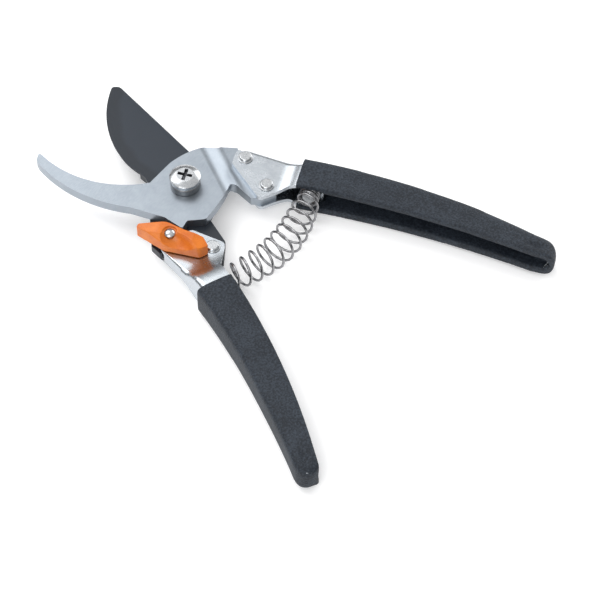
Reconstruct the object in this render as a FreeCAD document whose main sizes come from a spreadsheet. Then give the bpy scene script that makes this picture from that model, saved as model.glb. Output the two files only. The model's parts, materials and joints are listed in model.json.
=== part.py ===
import FreeCAD, Part
import math
import os
import types

import Sketcher

# Hand pruning shears, in millimetres. +Z is the pivot axis, +X runs from the pivot to the blades and
# the handles run to -X. The origin is on the pivot axis, in the plane that the tool lies on. Each half
# is drawn as it stands with the tool closed, along X, and is then swung open by half the opening.

OPENING_SIZES = {
    "opening": 46.0,              # degrees between the two halves, from closed to open
    "latch_swing": 43.0,          # degrees from the latch's free place to its locked place
}

STOCK_SIZES = {
    "grip_width": 15.0,           # thickness of the covered handles, the tool's flat size
    "vinyl": 0.8,
    "handle_sheet": 1.6,
    "blade_sheet": 3.2,
    "hook_sheet": 4.0,
    "bypass_gap": 0.05,
    "running_gap": 0.05,
    "fixed_gap": 0.02,
    "tang_gap": 0.1,              # between a tang and the inside of its handle's web
}

PIVOT_SIZES = {
    "bolt_radius": 3.0,
    "bolt_end_radius": 2.4,
    "bush_radius": 5.0,
    "head_radius": 5.85,
    "head_height": 1.75,
    "head_rim": 0.5,
    "head_crown": 3.2,
    "head_dome_radius": 9.0,
    "recess_length": 5.6,
    "recess_width": 1.3,
    "recess_depth": 1.45,
    "lock_washer_radius": 5.6,
    "lock_washer_sheet": 1.4,
    "spacer_land": 0.75,
    "spacer_sheet": 2.9,
    "lower_washer_radius": 6.4,
    "lower_washer_sheet": 1.1,
    "nut_across_corners": 11.5,
    "nut_height": 4.0,
    "nut_chamfer": 0.6,
}

RIVET_SIZES = {
    "rivet_radius": 1.8,
    "rivet_head_radius": 2.45,
    "rivet_head": 1.45,
    "rivet_tail": 1.2,
    "rivet_edge": 0.35,
    "rivet_collar_radius": 2.95,
    "rivet_collar": 0.4,
    "hook_rivet_one_x": -17.7,
    "hook_rivet_one_y": -20.1,
    "hook_rivet_two_x": -29.0,
    "hook_rivet_two_y": -9.1,
    "blade_rivet_x": -29.5,
    "blade_rivet_y": 4.2,
    "latch_pin_x": -20.4,
    "latch_pin_y": 17.0,
}

LATCH_SIZES = {
    "latch_height": 6.5,
    "latch_pin_radius": 1.6,
    "latch_pin_head": 2.15,
    "latch_dome": 1.0,
    "latch_recess_radius": 2.7,
    "latch_recess_depth": 0.8,
    "latch_washer_radius": 3.8,
    "latch_washer_sheet": 0.4,
    "lever_nose_round": 0.6,
    "lever_cheek_round": 6.0,
    "lever_thumb_round": 2.2,
    "lever_nose_drop": 1.4,
    "lever_thumb_drop": 2.0,
    "lever_deck_front": 4.5,
    "lever_deck_back": -9.0,
}

CUTTING_SIZES = {
    "beak_round": 0.6,
    "hook_mouth_radius": 42.0,
    "hook_back_radius": 56.0,
    "shoulder_radius": 31.0,
    "rim_radius": 48.0,
    "tang_round": 2.4,
    "neck_round": 1.8,
    "notch_round": 0.7,
    "bend_angle": 37.7,           # degrees from X to the joggle's run
    "upper_bend": -14.3,          # the joggle's bend lines, measured along that run
    "lower_bend": -17.8,
    "belly_radius": 45.5,
    "heel_radius": 22.0,
    "disc_radius": 13.5,
    "bevel_width": 5.0,
    "bevel_depth": 2.7,
}

HANDLE_SIZES = {
    "flare_start": -35.7,         # where the flanges leave the tang
    "flare_end": -41.5,           # where the channel has its full width
    "hook_slot": -14.4,
    "hook_grip_start": -40.3,
    "blade_slot": -23.0,
    "blade_grip_start": -46.6,
    "front_radius": 4.2,
    "ear_round": 2.0,
    "lip_round": 3.5,
    "tail_round": 3.6,
    "tail_lip_round": 1.1,
    "tail_half": 5.2,             # half the channel's height at the tail
    "tail_side_round": 4.2,
    "lining_start": -50.4,        # where the coating inside the channel starts, behind the spring
    "hook_web_radius": 312.0,
    "hook_lip_radius": 453.0,
    "blade_web_radius": 321.0,
    "blade_lip_radius": 305.0,
}

SPRING_SIZES = {
    "spring_wire": 1.0,
    "spring_end_radius": 3.75,    # to the wire's centre, at both ends
    "spring_middle_radius": 5.9,
    "spring_turns": 17.0,
    "spring_dead_turns": 3.0,     # close coils at each end
    "spring_close_pitch": 1.1,
    "spring_pull": 0.44,          # how far the axis runs square to its seats before it arches
    "seat_sheet": 1.2,
    "seat_length": 8.6,
    "stud_radius": 2.9,
    "stud_height": 3.4,
    "stud_neck_radius": 1.5,
    "stud_tail": 0.8,
    "stud_tail_radius": 2.2,
    "stud_edge": 0.5,
    "hook_seat_x": -45.1,
    "hook_seat_y": -13.2,
    "blade_seat_x": -43.5,
    "blade_seat_y": 9.5,
}

# Corners of the outlines, each half as it stands with the tool closed.
CORNERS = {
    "beak_top": (58.2, -0.9),
    "beak_root": (56.4, 0.0),
    "beak_back": (56.6, 4.2),
    "beak_end": (58.0, 2.4),
    "hook_root": (13.2, 2.4),
    "hook_shoulder": (8.9, -8.3),
    "bend_top": (-2.4, -20.3),
    "neck_top": (-6.8, -24.2),
    "tang_top": (-13.0, -25.4),
    "hook_tang_tail": (-33.0, -8.0),
    "hook_tang_ear": (-28.5, -3.9),
    "hook_tang_side": (-24.6, -2.9),
    "neck": (-15.6, -8.6),
    "rim_low": (-15.7, -2.5),
    "rim_high": (-12.9, 10.5),
    "rim_corner": (-12.0, 14.0),
    "notch": (-5.5, 16.4),
    "tooth": (-4.7, 20.4),
    "tooth_back": (3.0, 17.0),
    "hook_back": (17.0, 15.7),
    "blade_tip": (61.0, 0.6),
    "blade_tip_back": (59.6, -2.0),
    "blade_belly": (26.6, 13.6),
    "blade_heel": (16.5, 11.0),
    "heel_notch": (13.4, 10.2),
    "heel_corner": (10.7, 10.6),
    "nub": (-16.9, 23.2),
    "nub_end": (-21.6, 22.1),
    "blade_tang_tail": (-36.2, 3.2),
    "blade_tang_ear": (-28.6, -1.65),
    "blade_tang_side": (-15.9, -1.65),
    "disc_back": (-12.2, -5.8),
    "disc_front": (4.0, -12.66),
    "lever_nose_right": (12.8, -1.0),
    "lever_nose_left": (12.9, 0.7),
    "lever_cheek_left": (1.2, 4.5),
    "lever_thumb_left": (-12.6, 3.7),
    "lever_thumb_end": (-15.2, 0.7),
    "lever_thumb_right": (-12.4, -2.1),
    "lever_waist": (-4.6, -2.7),
    "lever_cheek_right": (2.6, -4.3),
    "hook_front_outer": (-13.4, -25.4),
    "hook_knee": (-40.0, -22.1),
    "hook_web_end": (-134.0, -9.4),
    "hook_tail_outer": (-140.3, -8.3),
    "hook_tail_inner": (-140.0, -2.0),
    "hook_lip_end": (-132.0, -2.4),
    "hook_lip_start": (-41.0, -10.2),
    "hook_lip_corner": (-37.3, -10.2),
    "hook_ear": (-27.9, -2.2),
    "hook_front_inner": (-13.4, -16.4),
    "blade_front_outer": (-15.9, 22.2),
    "blade_knee": (-44.0, 18.1),
    "blade_web_end": (-127.0, 24.4),
    "blade_tail_outer": (-135.7, 25.7),
    "blade_tail_inner": (-133.4, 18.8),
    "blade_lip_end": (-127.0, 16.9),
    "blade_lip_start": (-43.0, 6.2),
    "blade_lip_corner": (-39.4, 6.2),
    "blade_ear": (-30.0, -0.8),
    "blade_front_inner": (-18.4, 7.2),
    "blade_tooth_room": (-18.7, 11.0),
    "blade_front_mid": (-16.0, 13.2),
}

CORNER_SIZES = {f"{name}_{axis}": place[k] for name, place in CORNERS.items() for k, axis in enumerate("xy")}

DRIVING_SIZES = {
    **OPENING_SIZES,
    **STOCK_SIZES,
    **PIVOT_SIZES,
    **RIVET_SIZES,
    **LATCH_SIZES,
    **CUTTING_SIZES,
    **HANDLE_SIZES,
    **SPRING_SIZES,
    **CORNER_SIZES,
}


class Size:
    """A number together with the sheet expression that gives it."""

    def __init__(self, value, text):
        self.value = float(value)
        self.text = text

    def __add__(self, other):
        other = as_size(other)
        return Size(self.value + other.value, f"({self.text} + {other.text})")

    def __sub__(self, other):
        other = as_size(other)
        return Size(self.value - other.value, f"({self.text} - {other.text})")

    def __mul__(self, other):
        other = as_size(other)
        return Size(self.value * other.value, f"({self.text} * {other.text})")

    def __truediv__(self, other):
        other = as_size(other)
        return Size(self.value / other.value, f"({self.text} / {other.text})")

    def __neg__(self):
        return Size(-self.value, f"(0 - {self.text})")

    def __radd__(self, other):
        return as_size(other) + self

    def __rsub__(self, other):
        return as_size(other) - self

    def __rmul__(self, other):
        return as_size(other) * self


def as_size(item):
    """Give a Size as it is, and a plain number as a constant Size."""
    if isinstance(item, Size):
        return item
    return Size(item, f"({float(item)})")


def cosine(angle):
    return Size(math.cos(math.radians(angle.value)), f"cos({angle.text})")


def sine(angle):
    return Size(math.sin(math.radians(angle.value)), f"sin({angle.text})")


def root(square):
    return Size(math.sqrt(square.value), f"sqrt({square.text})")


doc = FreeCAD.newDocument("PruningShears")
sheet = doc.addObject("Spreadsheet::Sheet", "Sizes")
for row, (alias, number) in enumerate(DRIVING_SIZES.items(), start=1):
    sheet.set(f"A{row}", alias)
    sheet.set(f"B{row}", str(number))
    sheet.setAlias(f"B{row}", alias)
doc.recompute()
size = types.SimpleNamespace(**{alias: Size(sheet.get(alias), f"Sizes.{alias}") for alias in DRIVING_SIZES})


def corner(name):
    """Give the x and y of a named outline corner."""
    return getattr(size, f"{name}_x"), getattr(size, f"{name}_y")


# Levels up the tool.
middle = size.grip_width / 2
blade_bottom = middle - size.blade_sheet / 2
blade_top = middle + size.blade_sheet / 2
hook_bottom = blade_top + size.bypass_gap
hook_top = hook_bottom + size.hook_sheet
hook_tang_half = size.hook_sheet / 2
blade_tang_half = size.blade_sheet / 2
hook_flange_half = hook_tang_half + size.handle_sheet
blade_flange_half = blade_tang_half + size.handle_sheet
channel_half = middle - size.vinyl
hollow_half = channel_half - size.handle_sheet
lower_washer_top = blade_bottom - size.running_gap
nut_top = lower_washer_top - size.lower_washer_sheet
nut_bottom = nut_top - size.nut_height
spacer_top = hook_top + size.spacer_sheet
lock_washer_top = spacer_top + size.lock_washer_sheet
latch_seat = middle + blade_flange_half
latch_bottom = latch_seat + size.latch_washer_sheet + size.running_gap
half_opening = size.opening / 2
hook_turn = half_opening
blade_turn = -half_opening

FULL_TURN = 360.0
HALF_TURN = 180.0
POINTS_PER_TURN = 12
QUARTER = 0.25
WELL_PAST = 12.0                  # how far a cutting outline runs past the edge that it opens
WELL_WIDE = 100.0                 # half length of the extrusions that trim a plan to its side view


def bind(item, path, value):
    item.setExpression(path, as_size(value).text)


def put_point(sketch, geometry, end, place):
    """Fix an end of a sketch element at a place, both coordinates read from the sheet."""
    for kind, value in zip(("DistanceX", "DistanceY"), map(as_size, place)):
        index = sketch.addConstraint(Sketcher.Constraint(kind, -1, 1, geometry, end, value.value))
        sketch.setExpression(f"Constraints[{index}]", value.text)


def put_radius(sketch, geometry, radius):
    index = sketch.addConstraint(Sketcher.Constraint("Radius", geometry, radius.value))
    sketch.setExpression(f"Constraints[{index}]", radius.text)


def arc_between(start, end, radius):
    """Give the shorter arc between two points, counterclockwise, with its ends in order of travel.

    A positive radius turns left on the way and a negative one right.
    """
    chord = end - start
    left = FreeCAD.Vector(-chord.y, chord.x, 0).normalize()
    reach = math.sqrt(radius ** 2 - (chord.Length / 2) ** 2)
    centre = (start + end) / 2 + left * math.copysign(reach, radius)
    first, last = (start, end) if radius > 0 else (end, start)
    angles = [math.atan2(place.y - centre.y, place.x - centre.x) for place in (first, last)]
    circle = Part.Circle(centre, FreeCAD.Vector(0, 0, 1), abs(radius))
    return Part.ArcOfCircle(circle, *angles), (1, 2) if radius > 0 else (2, 1)


class Outline:
    """A closed sketch outline: plain corners, rounded corners between lines, and arcs."""

    def __init__(self, sketch):
        self.sketch = sketch
        self.corners = []

    def to(self, place, rounding=None, bow=None):
        """Add a corner. rounding rounds it off, and bow is the signed radius of the arc that reaches it."""
        self.corners.append((tuple(map(as_size, place)), rounding, bow))
        return self

    def at(self, index):
        place = self.corners[index % len(self.corners)][0]
        return FreeCAD.Vector(place[0].value, place[1].value, 0)

    def trim(self, index):
        """Give where the sides before and after a corner end, which its rounding moves apart."""
        here = self.at(index)
        rounding = self.corners[index % len(self.corners)][1]
        if rounding is None:
            return here, here
        back = (self.at(index - 1) - here).normalize()
        ahead = (self.at(index + 1) - here).normalize()
        reach = as_size(rounding).value / math.tan(back.getAngle(ahead) / 2)
        return here + back * reach, here + ahead * reach

    def draw(self):
        """Add the outline and its constraints to the sketch."""
        count = len(self.corners)
        sides = []
        for index, (place, rounding, bow) in enumerate(self.corners):
            start = self.trim(index - 1)[1]
            end = self.trim(index)[0]
            if bow is None:
                side = self.sketch.addGeometry(Part.LineSegment(start, end), False)
                sides.append((side, 1, 2))
                continue
            arc, ends = arc_between(start, end, bow.value)
            side = self.sketch.addGeometry(arc, False)
            sides.append((side, *ends))
            put_radius(self.sketch, side, Size(abs(bow.value), f"abs({bow.text})"))
        for index, (place, rounding, bow) in enumerate(self.corners):
            side, unused, far_end = sides[index]
            following, near_end, unused = sides[(index + 1) % count]
            if rounding is None:
                self.sketch.addConstraint(Sketcher.Constraint("Coincident", side, far_end, following, near_end))
                put_point(self.sketch, side, far_end, place)
                continue
            self.round_corner(index, side, far_end, following, near_end)

    def round_corner(self, index, side, far_end, following, near_end):
        """Put a tangent arc across a corner that a construction point keeps in place."""
        place, rounding, unused = self.corners[index]
        rounding = as_size(rounding)
        start, end = self.trim(index)
        turn = (self.at(index) - start).cross(end - self.at(index)).z
        arc, (first, last) = arc_between(start, end, math.copysign(rounding.value, turn))
        round_off = self.sketch.addGeometry(arc, False)
        apex = self.sketch.addGeometry(Part.Point(self.at(index)), True)
        self.sketch.addConstraint(Sketcher.Constraint("Tangent", side, far_end, round_off, first))
        self.sketch.addConstraint(Sketcher.Constraint("Tangent", round_off, last, following, near_end))
        self.sketch.addConstraint(Sketcher.Constraint("PointOnObject", apex, 1, side))
        self.sketch.addConstraint(Sketcher.Constraint("PointOnObject", apex, 1, following))
        put_radius(self.sketch, round_off, rounding)
        put_point(self.sketch, apex, 1, place)


def put_circle(sketch, place, radius):
    """Add a circle of a given radius round a place."""
    x, y = map(as_size, place)
    circle = Part.Circle(FreeCAD.Vector(x.value, y.value, 0), FreeCAD.Vector(0, 0, 1), as_size(radius).value)
    index = sketch.addGeometry(circle, False)
    put_point(sketch, index, 3, (x, y))
    put_radius(sketch, index, as_size(radius))


def plan_sketch(name):
    return doc.addObject("Sketcher::SketchObject", name)


def extrude(name, sketch, bottom, top):
    """Raise a plan sketch from one level to another."""
    solid = doc.addObject("Part::Extrusion", name)
    solid.Base = sketch
    solid.DirMode = "Custom"
    solid.Dir = FreeCAD.Vector(0, 0, 1)
    solid.Solid = True
    bind(solid, "LengthFwd", top)
    bind(solid, "LengthRev", -bottom)
    return solid


def side_extrude(name, sketch, turn=None):
    """Run a side-view sketch right across the tool, square to X, or turned about Z by turn degrees."""
    sketch.Placement = FreeCAD.Placement(FreeCAD.Vector(0, 0, 0), FreeCAD.Rotation(FreeCAD.Vector(1, 0, 0), 90))
    solid = doc.addObject("Part::Extrusion", name)
    solid.Base = sketch
    solid.DirMode = "Custom"
    solid.Dir = FreeCAD.Vector(0, 1, 0)
    solid.Solid = True
    bind(solid, "LengthFwd", WELL_WIDE)
    bind(solid, "LengthRev", WELL_WIDE)
    if turn is not None:
        solid.setExpression("Placement.Rotation.Angle", f"{turn.text} * 1 deg")
    return solid


def combine(kind, name, *parts):
    """Join parts with a boolean: Part::Cut and Part::Common take two, Part::MultiFuse any number."""
    result = doc.addObject(kind, name)
    if kind == "Part::MultiFuse":
        result.Shapes = list(parts)
    else:
        result.Base, result.Tool = parts
    return result


def finish_node(item, label, turn, place=(0, 0), level=0, spin=0):
    """Name a sub-part and set it in the open tool, from its place and spin with the tool closed."""
    x, y = map(as_size, place)
    item.Label = label
    item.setExpression("Placement.Rotation.Angle", f"{(turn + spin).text} * 1 deg")
    bind(item, "Placement.Base.x", x * cosine(turn) - y * sine(turn))
    bind(item, "Placement.Base.y", x * sine(turn) + y * cosine(turn))
    bind(item, "Placement.Base.z", level)
    nodes.append(item)
    return item


def body_sketch(body, name, plane):
    """Start a sketch on one of a body's own origin planes."""
    sketch = body.newObject("Sketcher::SketchObject", name)
    origin_plane = next(feature for feature in body.Origin.OriginFeatures if feature.Role == plane)
    sketch.AttachmentSupport = [(origin_plane, "")]
    sketch.MapMode = "FlatFace"
    return sketch


def turned(name, profile, plane="XZ_Plane"):
    """Turn a profile of (radius, height) corners about the sketch's vertical axis into a body."""
    body = doc.addObject("PartDesign::Body", name)
    sketch = body_sketch(body, f"{name}_profile", plane)
    outline = Outline(sketch)
    for step in profile:
        outline.to(*step)
    outline.draw()
    spin = body.newObject("PartDesign::Revolution", f"{name}_spin")
    spin.Profile = sketch
    spin.ReferenceAxis = (sketch, ["V_Axis"])
    spin.Angle = FULL_TURN
    return body


def ring_profile(inner, outer, bottom, top):
    return [((inner, bottom),), ((outer, bottom),), ((outer, top),), ((inner, top),)]


nodes = []

# ---- the two cutting halves -------------------------------------------------------------------------


def web_line(half, x):
    """Give the y of the outside of a handle's web at x, ahead of its knee, where it runs straight."""
    front_x, front_y = corner(f"{half}_front_outer")
    knee_x, knee_y = corner(f"{half}_knee")
    return knee_y + (x - knee_x) * (front_y - knee_y) / (front_x - knee_x)


def inside_web(half, x):
    """Give a tang corner that clears the inside of the web."""
    side = WEB_SIDE[half]
    return x, web_line(half, x) - side * (size.handle_sheet + size.tang_gap)


WEB_SIDE = {"hook": -1.0, "blade": 1.0}

hook_plan = plan_sketch("hook_plan")
hook_outline = Outline(hook_plan)
hook_outline.to(corner("beak_top"), rounding=size.beak_round)
hook_outline.to(corner("beak_root"))
hook_outline.to(corner("hook_root"), bow=size.hook_mouth_radius)
hook_outline.to(corner("hook_shoulder"))
hook_outline.to(corner("bend_top"), bow=-size.shoulder_radius)
hook_outline.to(corner("neck_top"))
hook_outline.to(corner("tang_top"))
hook_outline.to(inside_web("hook", size.hook_slot))
hook_outline.to(inside_web("hook", size.hook_tang_tail_x))
hook_outline.to(corner("hook_tang_tail"))
hook_outline.to(corner("hook_tang_ear"), rounding=size.tang_round)
hook_outline.to(corner("hook_tang_side"))
hook_outline.to(corner("neck"), rounding=size.neck_round)
hook_outline.to(corner("rim_low"))
hook_outline.to(corner("rim_high"), bow=-size.rim_radius)
hook_outline.to(corner("rim_corner"), rounding=size.tang_round)
hook_outline.to(corner("notch"), rounding=size.notch_round)
hook_outline.to(corner("tooth"), rounding=size.notch_round)
hook_outline.to(corner("tooth_back"))
hook_outline.to(corner("hook_back"))
hook_outline.to(corner("beak_back"), bow=-size.hook_back_radius)
hook_outline.to(corner("beak_end"))
hook_outline.draw()
put_circle(hook_plan, (0, 0), size.bush_radius + size.fixed_gap)
put_circle(hook_plan, corner("hook_rivet_one"), size.rivet_radius + size.fixed_gap)
put_circle(hook_plan, corner("hook_rivet_two"), size.rivet_radius + size.fixed_gap)
hook_blank = extrude("hook_blank", hook_plan, 0, hook_top + WELL_PAST)

# The joggle: the plate steps down from above the blade to the blade's own plane at two bend lines.
joggle_side = plan_sketch("joggle_side")
joggle = Outline(joggle_side)
joggle.to((-WELL_WIDE, middle - hook_tang_half))
joggle.to((size.lower_bend, middle - hook_tang_half))
joggle.to((size.upper_bend, hook_bottom))
joggle.to((WELL_WIDE, hook_bottom))
joggle.to((WELL_WIDE, hook_top))
joggle.to((size.upper_bend, hook_top))
joggle.to((size.lower_bend, middle + hook_tang_half))
joggle.to((-WELL_WIDE, middle + hook_tang_half))
joggle.draw()
joggle_band = side_extrude("joggle_band", joggle_side, turn=size.bend_angle)
finish_node(combine("Part::Common", "hook_blade", hook_blank, joggle_band), "hook_blade", hook_turn)

blade_plan = plan_sketch("blade_plan")
blade_outline = Outline(blade_plan)
blade_outline.to(corner("blade_tip"))
blade_outline.to(corner("blade_belly"), bow=size.belly_radius)
blade_outline.to(corner("blade_heel"), bow=size.heel_radius)
blade_outline.to(corner("heel_notch"))
blade_outline.to(corner("heel_corner"))
blade_outline.to(corner("nub"), rounding=size.notch_round)
blade_outline.to(corner("nub_end"), rounding=size.notch_round)
blade_outline.to(inside_web("blade", size.blade_slot))
blade_outline.to(inside_web("blade", size.blade_tang_tail_x))
blade_outline.to(corner("blade_tang_tail"), rounding=size.notch_round)
blade_outline.to(corner("blade_tang_ear"), rounding=size.tang_round)
blade_outline.to(corner("blade_tang_side"))
blade_outline.to(corner("disc_back"))
blade_outline.to(corner("disc_front"), bow=size.disc_radius)
blade_outline.to(corner("blade_tip_back"))
blade_outline.draw()
put_circle(blade_plan, (0, 0), size.bush_radius + size.running_gap)
put_circle(blade_plan, corner("latch_pin"), size.rivet_radius + size.fixed_gap)
put_circle(blade_plan, corner("blade_rivet"), size.rivet_radius + size.fixed_gap)
blade_blank = extrude("blade_blank", blade_plan, blade_bottom, blade_top)


# The cutting edge is ground from below to a cone about the belly's own centre, which fades at the heel
# and leaves the upper side flat against the hook.
tip_x, tip_y = corner("blade_tip")
belly_x, belly_y = corner("blade_belly")
chord_x = belly_x - tip_x
chord_y = belly_y - tip_y
offset_share = root(size.belly_radius * size.belly_radius / (chord_x * chord_x + chord_y * chord_y) - QUARTER)
wedge_bottom = blade_bottom - size.bevel_depth
wedge = turned("bevel_wedge", [
    ((size.belly_radius - size.bevel_width * 2, wedge_bottom),),
    ((size.belly_radius + size.bevel_width, wedge_bottom),),
    ((size.belly_radius + size.bevel_width, blade_bottom + size.bevel_depth * 2),),
])
bind(wedge, "Placement.Base.x", (tip_x + belly_x) / 2 - chord_y * offset_share)
bind(wedge, "Placement.Base.y", (tip_y + belly_y) / 2 + chord_x * offset_share)
ahead_of_heel = plan_sketch("ahead_of_heel")
heel_limit = Outline(ahead_of_heel)
heel_limit.to((size.blade_heel_x, 0))
heel_limit.to((size.blade_heel_x, WELL_WIDE))
heel_limit.to((WELL_WIDE, WELL_WIDE))
heel_limit.to((WELL_WIDE, 0))
heel_limit.draw()
limit_block = extrude("heel_limit", ahead_of_heel, 0, blade_top)
ground = combine("Part::Common", "bevel_cut", wedge, limit_block)
finish_node(combine("Part::Cut", "ground_blade", blade_blank, ground), "cutting_blade", blade_turn)

# ---- handles and grips ------------------------------------------------------------------------------


def channel_side(name, ends, front_half, wide_half, tail_half, tail_rounding):
    """Draw the side view of a channel or its hollow: narrow at the tang, flared, then tapering to the tail."""
    start, end = ends
    sketch = plan_sketch(name)
    outline = Outline(sketch)
    outline.to((start, middle + front_half))
    outline.to((size.flare_start, middle + front_half))
    outline.to((size.flare_end, middle + wide_half))
    outline.to((size.lining_start, middle + wide_half))
    outline.to((end, middle + tail_half), rounding=tail_rounding)
    outline.to((end, middle - tail_half), rounding=tail_rounding)
    outline.to((size.lining_start, middle - wide_half))
    outline.to((size.flare_end, middle - wide_half))
    outline.to((size.flare_start, middle - front_half))
    outline.to((start, middle - front_half))
    outline.draw()
    return sketch


def coat_side(name, start, end):
    """Draw the side view of a grip, which tapers with its channel."""
    sketch = plan_sketch(name)
    outline = Outline(sketch)
    tail_half = size.tail_half + size.vinyl
    outline.to((start, size.grip_width))
    outline.to((size.lining_start, size.grip_width))
    outline.to((end, middle + tail_half), rounding=size.tail_side_round + size.vinyl)
    outline.to((end, middle - tail_half), rounding=size.tail_side_round + size.vinyl)
    outline.to((size.lining_start, 0))
    outline.to((start, 0))
    outline.draw()
    return sketch


def handle_plan(half, name, grow, start=None):
    """Draw a handle's outline in plan, grown outwards by a thickness. A start cuts it square there."""
    side = WEB_SIDE[half]
    web_radius = getattr(size, f"{half}_web_radius")
    lip_radius = getattr(size, f"{half}_lip_radius")

    def grown(place, along, across):
        return corner(place)[0] + along * grow, corner(place)[1] + across * grow

    sketch = plan_sketch(name)
    outline = Outline(sketch)
    if start is None:
        outline.to(corner(f"{half}_front_outer"), rounding=size.front_radius)
        outline.to(grown(f"{half}_knee", 0, side))
    else:
        outline.to((start, grown(f"{half}_knee", 0, side)[1]))
    outline.to(grown(f"{half}_web_end", 0, side), bow=-web_radius)
    outline.to(grown(f"{half}_tail_outer", -1, side), rounding=size.tail_round + grow)
    outline.to(grown(f"{half}_tail_inner", -1, -side), rounding=size.tail_lip_round + grow)
    outline.to(grown(f"{half}_lip_end", 0, -side))
    if start is None:
        outline.to(grown(f"{half}_lip_start", 0, -side), bow=lip_radius)
        outline.to(corner(f"{half}_lip_corner"), rounding=size.lip_round)
        for place in HANDLE_FRONTS[half]:
            outline.to(corner(place), rounding=size.ear_round)
    else:
        outline.to((start, grown(f"{half}_lip_start", 0, -side)[1]), bow=lip_radius)
    outline.draw()
    return sketch


def hollow_plan(half, name, slot, wall):
    """Draw the space between a handle's flanges, open along its lip and through its web ahead of the slot."""
    side = WEB_SIDE[half]
    front = corner(f"{half}_front_outer")[0] + WELL_PAST
    outside = corner(f"{half}_front_outer")[1] + side * WELL_PAST
    inside = corner(f"{half}_lip_end")[1] - side * WELL_PAST * 3
    tail = corner(f"{half}_tail_outer")[0] + wall
    sketch = plan_sketch(name)
    outline = Outline(sketch)
    outline.to((front, outside))
    outline.to((slot, outside))
    outline.to((slot, web_line(half, slot) - side * wall))
    outline.to((corner(f"{half}_knee")[0], corner(f"{half}_knee")[1] - side * wall))
    web_end = corner(f"{half}_web_end")
    outline.to((web_end[0], web_end[1] - side * wall), bow=-getattr(size, f"{half}_web_radius"))
    outline.to((tail, corner(f"{half}_tail_outer")[1] - side * wall), rounding=size.tail_round - wall)
    outline.to((tail, inside))
    outline.to((front, inside))
    outline.draw()
    return sketch


def make_hollow(half, name, slot, tang_half, wall):
    """Build the space inside a channel whose walls are as thick as wall says."""
    tail = corner(f"{half}_tail_outer")[0] + wall
    front = corner(f"{half}_front_outer")[0] + WELL_PAST
    thinner = wall - size.handle_sheet
    side = channel_side(f"{name}_side", (front, tail), tang_half, hollow_half - thinner,
                        size.tail_half - wall, size.tail_side_round - wall)
    return combine("Part::Common", name,
                   extrude(f"{name}_block", hollow_plan(half, f"{name}_plan", slot, wall), 0, size.grip_width),
                   side_extrude(f"{name}_band", side))


HANDLE_FRONTS = {
    "hook": ("hook_ear", "hook_front_inner"),
    "blade": ("blade_ear", "blade_front_inner", "blade_tooth_room", "blade_front_mid"),
}


def make_handle(half, slot, tang_half, turn):
    """Build one pressed channel handle and the vinyl grip dipped over its rear, inside and out."""
    flange_half = tang_half + size.handle_sheet
    tail = corner(f"{half}_tail_outer")[0]
    front = corner(f"{half}_front_outer")[0] + WELL_PAST
    top = size.grip_width
    full_side = channel_side(f"{half}_channel_side", (front, tail), flange_half, channel_half,
                             size.tail_half, size.tail_side_round)
    steel = combine("Part::Common", f"{half}_steel",
                    extrude(f"{half}_channel", handle_plan(half, f"{half}_channel_plan", 0), 0, top),
                    side_extrude(f"{half}_channel_band", full_side))
    hollow = make_hollow(half, f"{half}_hollow", slot, tang_half, size.handle_sheet)
    open_channel = combine("Part::Cut", f"{half}_open_channel", steel, hollow)
    drilled = open_channel
    for place in HANDLE_HOLES[half]:
        hole_sketch = plan_sketch(f"{half}_{place}_hole")
        put_circle(hole_sketch, corner(place), size.rivet_radius + size.fixed_gap)
        hole = extrude(f"{half}_{place}_drill", hole_sketch, 0, top)
        drilled = combine("Part::Cut", f"{half}_{place}_drilled", drilled, hole)
    finish_node(drilled, f"{half}_handle", turn)

    start = getattr(size, f"{half}_grip_start")
    coat = combine("Part::Common", f"{half}_coat",
                   extrude(f"{half}_coat_block", handle_plan(half, f"{half}_coat_plan", size.vinyl, start), 0, top),
                   side_extrude(f"{half}_coat_band", coat_side(f"{half}_coat_side", start, tail - size.vinyl)))
    coat_only = combine("Part::Cut", f"{half}_coat_only", coat, open_channel)
    lined = make_hollow(half, f"{half}_lined", slot, tang_half, size.handle_sheet + size.vinyl)
    ahead_sketch = plan_sketch(f"{half}_unlined_plan")
    ahead = Outline(ahead_sketch)
    ahead.to((size.lining_start, -WELL_WIDE))
    ahead.to((0, -WELL_WIDE))
    ahead.to((0, WELL_WIDE))
    ahead.to((size.lining_start, WELL_WIDE))
    ahead.draw()
    unlined = combine("Part::Common", f"{half}_unlined", hollow,
                      extrude(f"{half}_unlined_block", ahead_sketch, 0, top))
    inner_space = combine("Part::MultiFuse", f"{half}_inner_space", lined, unlined)
    finish_node(combine("Part::Cut", f"{half}_sleeve", coat_only, inner_space), f"{half}_grip", turn)


HANDLE_HOLES = {
    "hook": ("hook_rivet_one", "hook_rivet_two"),
    "blade": ("latch_pin", "blade_rivet"),
}
make_handle("hook", size.hook_slot, hook_tang_half, hook_turn)
make_handle("blade", size.blade_slot, blade_tang_half, blade_turn)

# ---- rivets -----------------------------------------------------------------------------------------


def rivet_body(name, flange_half):
    """Turn one flat-headed rivet that clamps the two flanges on a tang."""
    head = middle + flange_half
    tail = middle - flange_half
    edge = size.rivet_edge
    radius = size.rivet_head_radius
    return turned(name, [
        ((0, tail - size.rivet_tail),),
        ((radius - edge, tail - size.rivet_tail),),
        ((radius, tail - size.rivet_tail + edge),),
        ((radius, tail),),
        ((size.rivet_radius, tail),),
        ((size.rivet_radius, head),),
        ((size.rivet_collar_radius, head),),
        ((size.rivet_collar_radius, head + size.rivet_collar),),
        ((radius, head + size.rivet_collar),),
        ((radius, head + size.rivet_head - edge),),
        ((radius - edge, head + size.rivet_head),),
        ((0, head + size.rivet_head),),
    ])


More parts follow.
